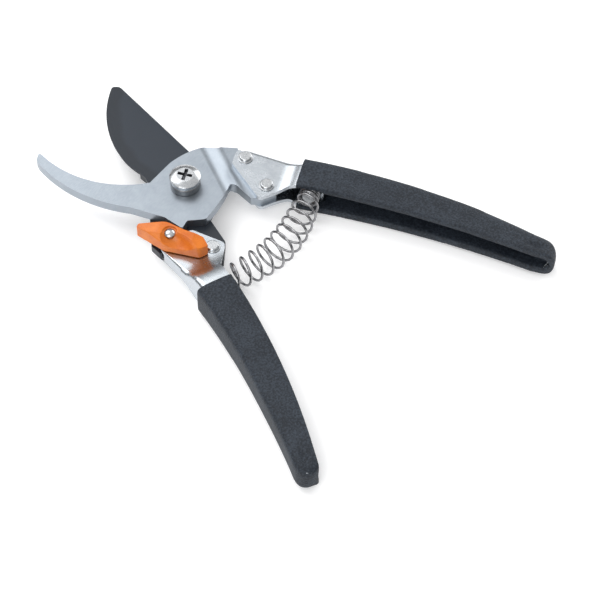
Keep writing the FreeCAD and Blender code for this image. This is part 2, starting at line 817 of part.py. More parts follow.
hook_rivets = []
for place in HANDLE_HOLES["hook"]:
    rivet = rivet_body(f"{place}_body", hook_flange_half)
    bind(rivet, "Placement.Base.x", corner(place)[0])
    bind(rivet, "Placement.Base.y", corner(place)[1])
    hook_rivets.append(rivet)
rivet_pair = doc.addObject("Part::Compound", "rivet_pair")
rivet_pair.Links = hook_rivets
finish_node(rivet_pair, "hook_rivets", hook_turn)
finish_node(rivet_body("rivet", blade_flange_half), "blade_rivet", blade_turn, corner("blade_rivet"))

# ---- pivot stack ------------------------------------------------------------------------------------

head_top = lock_washer_top + size.head_height
bolt = turned("bolt", [
    ((0, 0),),
    ((size.bolt_end_radius, 0),),
    ((size.bolt_radius, size.bolt_radius - size.bolt_end_radius),),
    ((size.bolt_radius, lock_washer_top),),
    ((size.head_radius, lock_washer_top),),
    ((size.head_radius, lock_washer_top + size.head_rim),),
    ((size.head_crown, head_top), None, size.head_dome_radius),
    ((0, head_top),),
])
recess_sketch = body_sketch(bolt, "recess", "XY_Plane")
bind(recess_sketch, "AttachmentOffset.Base.z", head_top)
half_length = size.recess_length / 2
half_width = size.recess_width / 2
recess_outline = Outline(recess_sketch)
for along, across in ((1, 0), (0, 1), (-1, 0), (0, -1)):
    for lean, reach in ((-1, half_length), (1, half_length)):
        recess_outline.to((reach * along - half_width * lean * across, reach * across + half_width * lean * along))
    recess_outline.to((half_width * (along - across), half_width * (along + across)))
recess_outline.draw()
doc.recompute()
uncut_bolt = bolt.Shape.Volume
recess = bolt.newObject("PartDesign::Pocket", "recess_pocket")
recess.Profile = recess_sketch
bind(recess, "Length", size.recess_depth)
doc.recompute()
if bolt.Shape.Volume >= uncut_bolt:
    raise RuntimeError("the drive recess cut nothing out of the bolt's head")
finish_node(bolt, "pivot_bolt", hook_turn)

clear_bolt = size.bolt_radius + size.running_gap
PIVOT_RINGS = {
    "pivot_lock_washer": (clear_bolt, size.lock_washer_radius, spacer_top, lock_washer_top),
    "pivot_spacer_washer": (clear_bolt, size.bush_radius + size.spacer_land, hook_top, spacer_top),
    "pivot_bush": (clear_bolt, size.bush_radius, lower_washer_top, hook_top),
    "pivot_lower_washer": (clear_bolt, size.lower_washer_radius, nut_top, lower_washer_top),
}
for label, ring in PIVOT_RINGS.items():
    finish_node(turned(f"{label}_body", ring_profile(*ring)), label, hook_turn)

hexagon = doc.addObject("Part::Prism", "hexagon")
hexagon.Polygon = 6
bind(hexagon, "Circumradius", size.nut_across_corners / 2)
bind(hexagon, "Height", size.nut_height)
bind(hexagon, "Placement.Base.z", nut_bottom)
nut_limit = turned("nut_limit", [
    ((size.bolt_radius + size.fixed_gap, nut_bottom),),
    ((size.nut_across_corners / 2 - size.nut_chamfer, nut_bottom),),
    ((size.nut_across_corners / 2, nut_bottom + size.nut_chamfer / 2),),
    ((size.nut_across_corners / 2, nut_top),),
    ((size.bolt_radius + size.fixed_gap, nut_top),),
])
finish_node(combine("Part::Common", "nut", hexagon, nut_limit), "pivot_nut", hook_turn)

# ---- latch ------------------------------------------------------------------------------------------

latch_top = latch_bottom + size.latch_height
dome_seat = latch_top - size.latch_recess_depth + size.running_gap
pin_tail = middle - blade_flange_half
dome_radius = (size.latch_pin_head * size.latch_pin_head / size.latch_dome + size.latch_dome) / 2
latch_pin = turned("pin", [
    ((0, pin_tail - size.rivet_tail),),
    ((size.rivet_head_radius, pin_tail - size.rivet_tail),),
    ((size.rivet_head_radius, pin_tail),),
    ((size.rivet_radius, pin_tail),),
    ((size.rivet_radius, latch_seat),),
    ((size.latch_pin_radius, latch_seat),),
    ((size.latch_pin_radius, dome_seat),),
    ((size.latch_pin_head, dome_seat),),
    ((0, dome_seat + size.latch_dome), None, dome_radius),
])
finish_node(latch_pin, "latch_pin", blade_turn, corner("latch_pin"))
latch_washer = turned("washer", ring_profile(size.latch_pin_radius + size.running_gap, size.latch_washer_radius,
                                             latch_seat, latch_seat + size.latch_washer_sheet))
finish_node(latch_washer, "latch_washer", blade_turn, corner("latch_pin"))

lever_plan = plan_sketch("lever_plan")
lever = Outline(lever_plan)
lever.to(corner("lever_nose_right"), rounding=size.lever_nose_round)
lever.to(corner("lever_nose_left"), rounding=size.lever_nose_round)
lever.to(corner("lever_cheek_left"), rounding=size.lever_cheek_round)
lever.to(corner("lever_thumb_left"), rounding=size.lever_thumb_round)
lever.to(corner("lever_thumb_end"), rounding=size.lever_nose_round)
lever.to(corner("lever_thumb_right"), rounding=size.lever_nose_round)
lever.to(corner("lever_waist"))
lever.to(corner("lever_cheek_right"), rounding=size.lever_cheek_round)
lever.draw()
put_circle(lever_plan, (0, 0), size.latch_pin_radius + size.running_gap)
lever_side = plan_sketch("lever_side")
lever_profile = Outline(lever_side)
nose_reach = size.lever_nose_left_x + size.lever_nose_drop
thumb_reach = size.lever_thumb_end_x - size.lever_nose_drop
lever_profile.to((thumb_reach, latch_bottom))
lever_profile.to((nose_reach, latch_bottom))
lever_profile.to((nose_reach, latch_top - size.lever_nose_drop))
lever_profile.to((size.lever_deck_front, latch_top))
lever_profile.to((size.lever_deck_back, latch_top))
lever_profile.to((thumb_reach, latch_top - size.lever_thumb_drop))
lever_profile.draw()
lever_shape = combine("Part::Common", "lever_shape",
                      extrude("lever_block", lever_plan, latch_bottom, latch_top),
                      side_extrude("lever_band", lever_side))
lever_recess = plan_sketch("lever_recess")
put_circle(lever_recess, (0, 0), size.latch_recess_radius)
recess_cut = extrude("lever_recess_cut", lever_recess, latch_top - size.latch_recess_depth, latch_top + WELL_PAST)
finish_node(combine("Part::Cut", "lever", lever_shape, recess_cut), "latch_lever", blade_turn,
            corner("latch_pin"), spin=size.latch_swing)

# ---- spring seats and spring ------------------------------------------------------------------------


def make_seat(half, facing, turn):
    """Build the bracket across one handle's channel and the stud on it that keeps the spring in place."""
    x, y = corner(f"{half}_seat")
    front = size.flare_end - size.fixed_gap
    half_width = hollow_half - size.fixed_gap
    back_of_plate = y - size.seat_sheet * facing
    plan = plan_sketch(f"{half}_seat_plan")
    outline = Outline(plan)
    outline.to((front, y))
    outline.to((front - size.seat_length, y))
    outline.to((front - size.seat_length, back_of_plate))
    outline.to((front, back_of_plate))
    outline.draw()
    plate = extrude(f"{half}_seat_plate", plan, middle - half_width, middle + half_width)
    drill = turned(f"{half}_seat_drill", ring_profile(0, size.stud_neck_radius + size.fixed_gap,
                                                      -size.seat_sheet * 2, size.seat_sheet),
                   plane="XY_Plane")
    turn_over = 0 if facing > 0 else HALF_TURN
    place_seat_piece(drill, x, y, turn_over)
    finish_node(combine("Part::Cut", f"{half}_seat", plate, drill), f"{half}_spring_bracket", turn)
    tail = -size.seat_sheet - size.stud_tail
    stud = turned(f"{half}_stud", [
        ((0, tail),),
        ((size.stud_tail_radius, tail),),
        ((size.stud_tail_radius, -size.seat_sheet),),
        ((size.stud_neck_radius, -size.seat_sheet),),
        ((size.stud_neck_radius, 0),),
        ((size.stud_radius, 0),),
        ((size.stud_radius, size.stud_height - size.stud_edge),),
        ((size.stud_radius - size.stud_edge, size.stud_height),),
        ((0, size.stud_height),),
    ], plane="XY_Plane")
    finish_node(stud, f"{half}_spring_stud", turn, (x, y), level=middle, spin=turn_over)


def place_seat_piece(item, x, y, turn_over):
    """Set a piece turned about Y at a seat, as it stands with the tool closed."""
    item.setExpression("Placement.Rotation.Angle", f"{as_size(turn_over).text} * 1 deg")
    bind(item, "Placement.Base.x", x)
    bind(item, "Placement.Base.y", y)
    bind(item, "Placement.Base.z", middle)


make_seat("hook", 1, hook_turn)
make_seat("blade", -1, blade_turn)


def opened(place, turn):
    """Give a closed place or direction as it stands in the open tool."""
    x, y = map(as_size, place)
    return FreeCAD.Vector((x * cosine(turn) - y * sine(turn)).value, (x * sine(turn) + y * cosine(turn)).value, 0)


def spring_path():
    """Give the points of the wire's middle: close end coils, an open and wider middle, an arched axis."""
    start = opened(corner("hook_seat"), hook_turn)
    end = opened(corner("blade_seat"), blade_turn)
    start_way = opened((0, 1), hook_turn)
    end_way = opened((0, 1), blade_turn)
    lift = size.spring_wire.value / 2 + size.running_gap.value
    start = start + start_way * lift
    end = end - end_way * lift
    pull = (end - start).Length * size.spring_pull.value
    axis = Part.BezierCurve()
    axis.setPoles([start, start + start_way * pull, end - end_way * pull, end])
    length = axis.length()
    dead_length = size.spring_dead_turns.value * size.spring_close_pitch.value
    dead_share = size.spring_dead_turns.value / size.spring_turns.value
    count = int(size.spring_turns.value * POINTS_PER_TURN)
    up = FreeCAD.Vector(0, 0, 1)
    points = []
    for index in range(count + 1):
        share = index / count
        open_share = min(max((share - dead_share) / (1 - 2 * dead_share), 0), 1)
        closed_share = min(share, dead_share) + max(share - 1 + dead_share, 0)
        along = closed_share / dead_share * dead_length + open_share * (length - 2 * dead_length)
        where = axis.parameterAtDistance(min(along, length))
        bulge = math.sin(math.pi * open_share) ** 0.5
        radius = size.spring_end_radius.value
        radius += (size.spring_middle_radius - size.spring_end_radius).value * bulge
        angle = 2 * math.pi * share * size.spring_turns.value
        out = axis.tangent(where)[0].cross(up)
        centre = axis.value(where) + up * middle.value
        points.append(centre + out * radius * math.cos(angle) + up * radius * math.sin(angle))
    return points


wire_path = Part.BSplineCurve()
wire_path.interpolate(spring_path())
wire_start = Part.Circle(wire_path.value(0), wire_path.tangent(0)[0], size.spring_wire.value / 2)
spring = doc.addObject("Part::Feature", "return_spring")
spring.Shape = Part.Wire([wire_path.toShape()]).makePipeShell([Part.Wire([wire_start.toShape()])], True, True)
nodes.append(spring)

# ---- checks and files -------------------------------------------------------------------------------

SOLIDS_IN = {"hook_rivets": 2}
doc.recompute()
for item in doc.Objects:
    if "Invalid" in item.State or "Error" in item.State:
        raise RuntimeError(f"{item.Label} did not recompute: {item.State}")
for node in nodes:
    if node.Shape.isNull() or not node.Shape.isValid() or not node.Shape.Solids:
        raise RuntimeError(f"{node.Label} is not a valid solid")
    if len(node.Shape.Solids) != SOLIDS_IN.get(node.Label, 1):
        raise RuntimeError(f"{node.Label} has fallen into {len(node.Shape.Solids)} solids")

os.makedirs("parts", exist_ok=True)
for node in nodes:
    node.Shape.exportStep(f"parts/{node.Label}.step")
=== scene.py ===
import json
import logging
import math
from dataclasses import dataclass
from enum import Enum
from typing import Callable

import bmesh
import bpy
from mathutils import Matrix, Vector


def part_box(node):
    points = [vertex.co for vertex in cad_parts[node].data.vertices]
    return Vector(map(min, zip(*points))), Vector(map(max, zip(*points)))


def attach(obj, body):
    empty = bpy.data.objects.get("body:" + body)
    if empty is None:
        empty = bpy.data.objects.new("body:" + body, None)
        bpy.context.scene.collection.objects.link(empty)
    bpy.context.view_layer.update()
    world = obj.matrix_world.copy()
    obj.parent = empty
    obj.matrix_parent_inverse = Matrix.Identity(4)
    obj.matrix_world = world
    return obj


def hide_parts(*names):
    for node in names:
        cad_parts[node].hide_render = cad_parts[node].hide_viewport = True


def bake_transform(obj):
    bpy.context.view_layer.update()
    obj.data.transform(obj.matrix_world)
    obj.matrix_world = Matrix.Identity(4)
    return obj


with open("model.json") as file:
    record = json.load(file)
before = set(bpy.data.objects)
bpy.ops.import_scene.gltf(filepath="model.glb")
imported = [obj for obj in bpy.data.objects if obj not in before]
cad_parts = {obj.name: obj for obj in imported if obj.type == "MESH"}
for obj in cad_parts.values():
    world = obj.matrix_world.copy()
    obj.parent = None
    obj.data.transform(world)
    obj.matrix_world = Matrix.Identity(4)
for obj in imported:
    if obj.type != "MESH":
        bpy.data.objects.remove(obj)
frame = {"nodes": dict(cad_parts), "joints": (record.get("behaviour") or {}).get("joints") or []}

# Dresses a pair of bypass pruning shears: edges are eased, the dipped grips and the moulded latch are
# softened, the return spring is wound, and every piece gets its own finish. Lengths are in metres.

LOG = logging.getLogger("shears")
MM = 0.001


class Half(Enum):
    """The two halves of the tool. The value is how far each is swung from closed to open, in degrees."""

    HOOK = 23.0
    BLADE = -23.0

    def opened(self) -> Matrix:
        """Give the turn from the closed half to the open one."""
        return Matrix.Rotation(math.radians(self.value), 4, "Z")

    def ahead(self) -> Vector:
        """Give the direction from the open half's tail to its blade."""
        return self.opened().to_3x3() @ Vector((1.0, 0.0, 0.0))

    def outward(self) -> Vector:
        """Give the direction from the open half towards the palm or the fingers."""
        return self.opened().to_3x3() @ Vector((0.0, math.copysign(1.0, -self.value), 0.0))


class Join(Enum):
    """How a second solid is worked into a piece."""

    UNION = "UNION"
    DIFFERENCE = "DIFFERENCE"


# ---- shader maths -----------------------------------------------------------------------------------


class Shade:
    """A socket of a material, with the operators that add Math nodes to its graph."""

    def __init__(self, graph: "Graph", socket: bpy.types.NodeSocket) -> None:
        """Keep the graph and the socket."""
        self.graph = graph
        self.socket = socket

    def __add__(self, other: "Value") -> "Shade":
        """Add."""
        return self.graph.maths("ADD", self, other)

    def __radd__(self, other: "Value") -> "Shade":
        """Add, from the right."""
        return self.graph.maths("ADD", other, self)

    def __sub__(self, other: "Value") -> "Shade":
        """Subtract."""
        return self.graph.maths("SUBTRACT", self, other)

    def __rsub__(self, other: "Value") -> "Shade":
        """Subtract this from another."""
        return self.graph.maths("SUBTRACT", other, self)

    def __mul__(self, other: "Value") -> "Shade":
        """Multiply."""
        return self.graph.maths("MULTIPLY", self, other)

    def __rmul__(self, other: "Value") -> "Shade":
        """Multiply, from the right."""
        return self.graph.maths("MULTIPLY", other, self)

    def __truediv__(self, other: "Value") -> "Shade":
        """Divide."""
        return self.graph.maths("DIVIDE", self, other)

    def __rtruediv__(self, other: "Value") -> "Shade":
        """Divide another by this."""
        return self.graph.maths("DIVIDE", other, self)


Value = Shade | float


class Graph:
    """The node graph of one material, ending in a Principled shader."""

    def __init__(self, name: str) -> None:
        """Start a material of that name with an empty graph."""
        self.material = bpy.data.materials.new(name)
        self.material.use_nodes = True
        self.tree = self.material.node_tree
        self.tree.nodes.clear()
        self.surface = self.tree.nodes.new("ShaderNodeBsdfPrincipled")
        output = self.tree.nodes.new("ShaderNodeOutputMaterial")
        self.tree.links.new(self.surface.outputs[0], output.inputs["Surface"])

    def feed(self, socket: bpy.types.NodeSocket, value: object) -> None:
        """Link a shade to a socket, or set the socket's own value.

        Args:
            socket: The input to feed.
            value: A Shade, a number, or a colour or vector tuple.
        """
        if isinstance(value, Shade):
            self.tree.links.new(value.socket, socket)
        elif isinstance(value, tuple) and socket.type == "RGBA":
            socket.default_value = (*value[:3], 1.0)
        else:
            socket.default_value = value

    def node(self, kind: str, settings: dict, inputs: dict, output: str | int = 0) -> Shade:
        """Add a node.

        Args:
            kind: The node's type, without its ShaderNode prefix.
            settings: Its own settings, set first. A ramp's stops go under "stops".
            inputs: Values or links, by socket name or number.
            output: The output wanted.

        Returns:
            The output as a Shade.
        """
        node = self.tree.nodes.new(f"ShaderNode{kind}")
        for key, value in settings.items():
            if key == "stops":
                self.set_stops(node.color_ramp, value)
            else:
                setattr(node, key, value)
        for key, value in inputs.items():
            self.feed(node.inputs[key], value)
        return Shade(self, node.outputs[output])

    @staticmethod
    def set_stops(ramp: bpy.types.ColorRamp, stops: list[tuple[float, float]]) -> None:
        """Give a ramp its stops, as places and grey levels."""
        while len(ramp.elements) < len(stops):
            ramp.elements.new(1.0)
        for element, (place, level) in zip(ramp.elements, stops):
            element.position = place
            element.color = (level, level, level, 1.0)

    def maths(self, operation: str, *values: Value) -> Shade:
        """Add a Math node on up to three values."""
        return self.node("Math", {"operation": operation}, dict(enumerate(values)))

    def place(self) -> Shade:
        """Give the object coordinates."""
        return self.node("TexCoord", {}, {}, "Object")

    def mapped(self, stretch: tuple[float, float, float], turn: float = 0.0) -> Shade:
        """Give object coordinates stretched along the axes and turned about Z by an angle in degrees."""
        return self.node("Mapping", {}, {"Vector": self.place(), "Scale": stretch,
                                         "Rotation": (0.0, 0.0, math.radians(turn))})

    def noise(self, grain: float, detail: float = 3.0, place: Shade | None = None) -> Shade:
        """Give noise whose grain is that many metres across."""
        return self.node("TexNoise", {}, {"Vector": place or self.place(), "Scale": 1.0 / grain,
                                          "Detail": detail, "Roughness": 0.6})

    def ramp(self, value: Shade, *stops: tuple[float, float]) -> Shade:
        """Run a value through a ramp of places and grey levels."""
        return self.node("ValToRGB", {"stops": list(stops)}, {0: value})

    def mix(self, factor: Value, low: object, high: object) -> Shade:
        """Mix two colours by a factor."""
        return self.node("Mix", {"data_type": "RGBA"}, {0: factor, 6: low, 7: high}, 2)

    def bump(self, height: Shade, strength: float, distance: float) -> None:
        """Bump the surface by a height, to a depth in metres."""
        normal = self.node("Bump", {}, {"Height": height, "Strength": strength, "Distance": distance})
        self.feed(self.surface.inputs["Normal"], normal)

    def set(self, **inputs: object) -> None:
        """Feed the shader's inputs, named with underscores for spaces."""
        for key, value in inputs.items():
            self.feed(self.surface.inputs[key.replace("_", " ")], value)


class SkyGraph(Graph):
    """The node graph of the light all round, ending in its background shader."""

    def __init__(self, name: str) -> None:
        """Start a world of that name."""
        self.world = bpy.data.worlds.new(name)
        self.world.use_nodes = True
        self.tree = self.world.node_tree
        self.surface = self.tree.nodes["Background"]


# ---- finishes ---------------------------------------------------------------------------------------

Colour = tuple[float, float, float]


@dataclass(frozen=True)
class BrushedPlate:
    """Satin steel plate with a fine brushed grain across it."""

    name: str = "satin brushed plate"
    colour: Colour = (0.275, 0.310, 0.350)
    pale: Colour = (0.37, 0.408, 0.450)
    roughness: float = 0.38
    line_grain: float = 0.30 * MM
    line_stretch: float = 0.16
    line_turn: float = -58.0
    line_depth: float = 0.012 * MM
    cloud_grain: float = 6.0 * MM

    def build(self) -> bpy.types.Material:
        """Build the material."""
        graph = Graph(self.name)
        lines = graph.noise(self.line_grain, 4.0, graph.mapped((1.0, self.line_stretch, 1.0), self.line_turn))
        clouds = graph.noise(self.cloud_grain, 3.0)
        tone = graph.ramp(lines * 0.6 + clouds * 0.4, (0.30, 0.0), (0.70, 1.0))
        graph.set(Base_Color=graph.mix(tone, self.colour, self.pale), Metallic=1.0,
                  Roughness=lines * 0.12 + clouds * 0.06 + (self.roughness - 0.09))
        graph.bump(lines, 0.20, self.line_depth)
        return graph.material


@dataclass(frozen=True)
class CoatedBlade:
    """Dark low-friction coating on the cutting blade, with a ground band along its edge."""

    name: str = "dark coated blade"
    colour: Colour = (0.0075, 0.0118, 0.0187)
    worn: Colour = (0.0150, 0.0225, 0.0345)
    roughness: float = 0.33
    band_centre: tuple[float, float, float] = (14.3 * MM, -40.7 * MM, 0.0)
    band_radius: float = 40.5 * MM
    band_waver: float = 5.0 * MM
    band_fade: float = 2.0 * MM
    line_grain: float = 0.40 * MM
    line_stretch: float = 0.12
    line_turn: float = 65.0
    line_depth: float = 0.010 * MM
    cloud_grain: float = 9.0 * MM

    def build(self) -> bpy.types.Material:
        """Build the material."""
        graph = Graph(self.name)
        clouds = graph.noise(self.cloud_grain, 4.0)
        fine = graph.noise(self.line_grain, 3.0, graph.mapped((1.0, self.line_stretch, 1.0), self.line_turn))
        offset = graph.node("VectorMath", {"operation": "SUBTRACT"},
                            {0: graph.place(), 1: self.band_centre})
        flat = graph.node("VectorMath", {"operation": "MULTIPLY"}, {0: offset, 1: (1.0, 1.0, 0.0)})
        reach = graph.node("VectorMath", {"operation": "LENGTH"}, {0: flat}, "Value")
        blurred = reach + (clouds - 0.5) * self.band_waver
        inside = (self.band_radius + self.band_fade / 2) - blurred
        flat_part = graph.node("Clamp", {}, {"Value": inside / self.band_fade})
        tone = graph.ramp(clouds * 0.25 + fine * 0.25 + flat_part * 0.5, (0.12, 0.0), (0.85, 1.0))
        graph.set(Base_Color=graph.mix(tone, self.colour, self.worn), Metallic=0.15,
                  Roughness=fine * 0.14 + (self.roughness + 0.02) - flat_part * 0.08)
        graph.bump(fine, 0.2, self.line_depth)
        return graph.material


@dataclass(frozen=True)
class NickelSheet:
    """Bright nickel-plated sheet of the pressed handles."""

    name: str = "nickel plated sheet"
    colour: Colour = (0.475, 0.51, 0.55)
    pale: Colour = (0.57, 0.605, 0.64)
    roughness: float = 0.25
    roll_grain: float = 0.50 * MM
    roll_stretch: float = 0.2
    roll_turn: float = 20.0
    cloud_grain: float = 6.0 * MM
    cloud_depth: float = 0.010 * MM

    def build(self) -> bpy.types.Material:
        """Build the material."""
        graph = Graph(self.name)
        along = graph.mapped((self.roll_stretch, 1.0, 1.0), self.roll_turn)
        rolled = graph.noise(self.roll_grain, 3.0, along)
        clouds = graph.noise(self.cloud_grain, 2.0)
        tone = graph.ramp(rolled * 0.5 + clouds * 0.5, (0.30, 0.0), (0.70, 1.0))
        graph.set(Base_Color=graph.mix(tone, self.colour, self.pale), Metallic=1.0,
                  Roughness=rolled * 0.08 + clouds * 0.10 + (self.roughness - 0.08))
        graph.bump(clouds, 0.06, self.cloud_depth)
        return graph.material


@dataclass(frozen=True)
class DippedVinyl:
    """Matt sandy vinyl, dipped over the handles."""

    name: str = "dipped sandy vinyl"
    colour: Colour = (0.0055, 0.0090, 0.0150)
    dusty: Colour = (0.030, 0.040, 0.055)
    roughness: float = 0.60
    sand_grain: float = 0.70 * MM
    sand_depth: float = 0.38 * MM
    grit_per_metre: float = 1500.0
    cloud_grain: float = 12.0 * MM

    def build(self) -> bpy.types.Material:
        """Build the material."""
        graph = Graph(self.name)
        sand = graph.noise(self.sand_grain, 2.5)
        grit = graph.node("TexVoronoi", {"feature": "F1"},
                          {"Vector": graph.place(), "Scale": self.grit_per_metre}, "Distance")
        clouds = graph.noise(self.cloud_grain, 3.0)
        tone = graph.ramp(sand * 0.75 + clouds * 0.25, (0.42, 0.0), (0.62, 1.0))
        graph.set(Base_Color=graph.mix(tone, self.colour, self.dusty), Metallic=0.0,
                  Roughness=sand * 0.20 + (self.roughness - 0.10), Specular_IOR_Level=0.36)
        graph.bump(sand * 0.8 + grit * 0.2, 1.0, self.sand_depth)
        return graph.material


@dataclass(frozen=True)
class MouldedLatch:
    """Semi-gloss orange plastic with a fine spark-eroded grain."""

    name: str = "moulded orange latch"
    colour: Colour = (0.56, 0.120, 0.006)
    pale: Colour = (0.70, 0.190, 0.012)
    roughness: float = 0.30
    spark_grain: float = 0.35 * MM
    flow_grain: float = 5.0 * MM
    skin_depth: float = 0.08 * MM

    def build(self) -> bpy.types.Material:
        """Build the material."""
        graph = Graph(self.name)
        grain = graph.noise(self.spark_grain, 2.0)
        flow = graph.noise(self.flow_grain, 2.0)
        tone = graph.ramp(grain * 0.35 + flow * 0.65, (0.38, 0.0), (0.64, 1.0))
        graph.set(Base_Color=graph.mix(tone, self.colour, self.pale), Metallic=0.0,
                  Roughness=grain * 0.16 + (self.roughness - 0.08), Specular_IOR_Level=0.42)
        graph.bump(grain * 0.3 + flow * 0.7, 0.25, self.skin_depth)
        return graph.material


@dataclass(frozen=True)
class BrightHardware:
    """Zinc-plated or polished steel of fasteners, turned round its own axis."""

    name: str = "bright hardware"
    colour: Colour = (0.42, 0.44, 0.46)
    pale: Colour = (0.56, 0.57, 0.58)
    roughness: float = 0.26
    # Dark colour painted into a recess: painted shade.
    recess_shade: Colour = (0.085, 0.088, 0.095)
    plating_grain: float = 1.2 * MM
    mark_grain: float = 0.25 * MM
    mark_depth: float = 0.004 * MM
    recess_radius: float = 0.0
    recess_level: float = 0.0
    recess_depth: float = 3.0 * MM

    def build(self) -> bpy.types.Material:
        """Build the material. A recess, if there is one, is painted dark below its level as painted shade."""
        graph = Graph(self.name)
        plating = graph.noise(self.plating_grain, 3.0)
        marks = graph.noise(self.mark_grain, 2.0, graph.mapped((1.0, 1.0, 0.3)))
        tone = graph.ramp(plating * 0.6 + marks * 0.4, (0.30, 0.0), (0.70, 1.0))
        colour = graph.mix(tone, self.colour, self.pale)
        # Painted shade: the colour inside the recess is darkened to stand for the shade that falls in it.
        if self.recess_radius:
            apart = {axis: graph.node("SeparateXYZ", {}, {0: graph.place()}, axis) for axis in "XYZ"}
            reach = graph.maths("SQRT", apart["X"] * apart["X"] + apart["Y"] * apart["Y"])
            within = graph.maths("LESS_THAN", reach, self.recess_radius)
            below = graph.maths("LESS_THAN", apart["Z"], self.recess_level)
            above = graph.maths("GREATER_THAN", apart["Z"], self.recess_level - self.recess_depth)
            colour = graph.mix(within * below * above, colour, self.recess_shade)
        graph.set(Base_Color=colour, Metallic=1.0,
                  Roughness=plating * 0.12 + marks * 0.06 + (self.roughness - 0.08))
        graph.bump(marks, 0.04, self.mark_depth)
        return graph.material


# ---- mesh work --------------------------------------------------------------------------------------

EdgeTest = Callable[[bmesh.types.BMEdge], bool]
CornerTest = Callable[[bpy.types.MeshVertex], bool]
CornerShare = Callable[[bpy.types.MeshVertex], float]


class Bench:
    """Mesh work done as by hand, with edit-mode operators and applied modifiers."""

    MERGE_GAP = 0.002 * MM
    FLATNESS = 0.3
    FINEST_MOVE = 0.004 * MM
    FLAT_WEIGHT = 90
    RELAXING = 0.5
    LEAST_SHARE = 0.05

    @staticmethod
    def clear() -> None:
        """Leave object mode with nothing selected."""
        if bpy.context.mode != "OBJECT":
            bpy.ops.object.mode_set(mode="OBJECT")
        bpy.ops.object.select_all(action="DESELECT")

    @classmethod
    def hold(cls, piece: bpy.types.Object) -> None:
        """Select one piece only and make it the active one."""
        cls.clear()
        piece.hide_set(False)
        piece.select_set(True)
        bpy.context.view_layer.objects.active = piece

    @classmethod
    def copy(cls, node: str, name: str) -> bpy.types.Object:
        """Copy a CAD node's mesh into a new piece and join up its loose triangles.

        Args:
            node: The CAD node.
            name: The new piece's name.

        Returns:
            The new piece, unparented, in the row frame.
        """
        source = frame["nodes"][node]
        mesh = source.data.copy()
        mesh.transform(source.matrix_world)
        mesh.materials.clear()
        piece = bpy.data.objects.new(name, mesh)
        bpy.context.scene.collection.objects.link(piece)
        cls.hold(piece)
        bpy.ops.mesh.customdata_custom_splitnormals_clear()
        bpy.ops.object.mode_set(mode="EDIT")
        bpy.ops.mesh.select_all(action="SELECT")
        bpy.ops.mesh.remove_doubles(threshold=cls.MERGE_GAP)
        bpy.ops.mesh.dissolve_limited(angle_limit=math.radians(cls.FLATNESS))
        bpy.ops.object.mode_set(mode="OBJECT")
        return piece

    @classmethod
    def ease(cls, piece: bpy.types.Object, test: EdgeTest, radius: float, steps: int = 3) -> int:
        """Round off the edges that pass a test.

        Args:
            piece: The piece.
            test: Says whether an edge is rounded.
            radius: How wide the rounding is, in metres.
            steps: How many strips it has.

        Returns:
            The number of edges that were rounded.
        """
        cls.hold(piece)
        bpy.ops.object.mode_set(mode="EDIT")
        bpy.ops.mesh.select_mode(type="EDGE")
        bpy.ops.mesh.select_all(action="DESELECT")
        work = bmesh.from_edit_mesh(piece.data)
        work.normal_update()
        count = 0
        for edge in work.edges:
            if len(edge.link_faces) == 2 and test(edge):
                edge.select_set(True)
                count += 1
        bmesh.update_edit_mesh(piece.data)
        if count:
            bpy.ops.mesh.bevel(offset=radius, segments=steps, affect="EDGES", clamp_overlap=False)
        bpy.ops.object.mode_set(mode="OBJECT")
        return count

    @classmethod
    def round_bend(cls, piece: bpy.types.Object, bend: "Bend", steps: int = 5) -> None:
        """Turn a sharp bend across a plate into a rounded one, by lines cut across it and moved up or down.

        Args:
            piece: The piece.
            bend: Where the bend is and how it turns.
            steps: How many lines are cut on each side of it.
        """
        cls.hold(piece)
        bpy.ops.object.mode_set(mode="EDIT")
        for index in range(-steps, steps + 1):
            bpy.ops.mesh.select_all(action="SELECT")
            reach = bend.reach + bend.width * index / steps
            bpy.ops.mesh.bisect(plane_co=bend.way * reach, plane_no=bend.way)
        bpy.ops.mesh.select_mode(type="VERT")
        work = bmesh.from_edit_mesh(piece.data)
        moves: dict[int, list[int]] = {}
        for corner in work.verts:
            moves.setdefault(round(bend.shift(corner.co) / cls.FINEST_MOVE), []).append(corner.index)
        for moves_up, corners in moves.items():
            if not moves_up:
                continue
            bpy.ops.mesh.select_all(action="DESELECT")
            work = bmesh.from_edit_mesh(piece.data)
            work.verts.ensure_lookup_table()
            for index in corners:
                work.verts[index].select_set(True)
            bmesh.update_edit_mesh(piece.data)
            bpy.ops.transform.translate(value=(0.0, 0.0, moves_up * cls.FINEST_MOVE))
        bpy.ops.object.mode_set(mode="OBJECT")

    @classmethod
    def break_edges(cls, piece: bpy.types.Object, width: float, steps: int = 2, angle: float = 25.0) -> None:
        """Ease every sharp edge of a piece a little.

        Args:
            piece: The piece.
            width: The width of the eased edge, in metres.
            steps: How many strips it has.
            angle: The least angle, in degrees, of an edge that counts as sharp.
        """
        cls.hold(piece)
        bevel = piece.modifiers.new("eased", "BEVEL")
        bevel.width = width
        bevel.segments = steps
        bevel.limit_method = "ANGLE"
        bevel.angle_limit = math.radians(angle)
        bevel.use_clamp_overlap = True
        bpy.ops.object.modifier_apply(modifier=bevel.name)

    @classmethod
    def smooth(cls, piece: bpy.types.Object, angle: float = 30.0) -> None:
        """Shade a piece smooth up to an angle in degrees, with its flat faces kept flat."""
        cls.hold(piece)
        bpy.ops.object.shade_smooth_by_angle(angle=math.radians(angle))
        weigh = piece.modifiers.new("weighed", "WEIGHTED_NORMAL")
        weigh.weight = cls.FLAT_WEIGHT
        weigh.keep_sharp = True
        bpy.ops.object.modifier_apply(modifier=weigh.name)

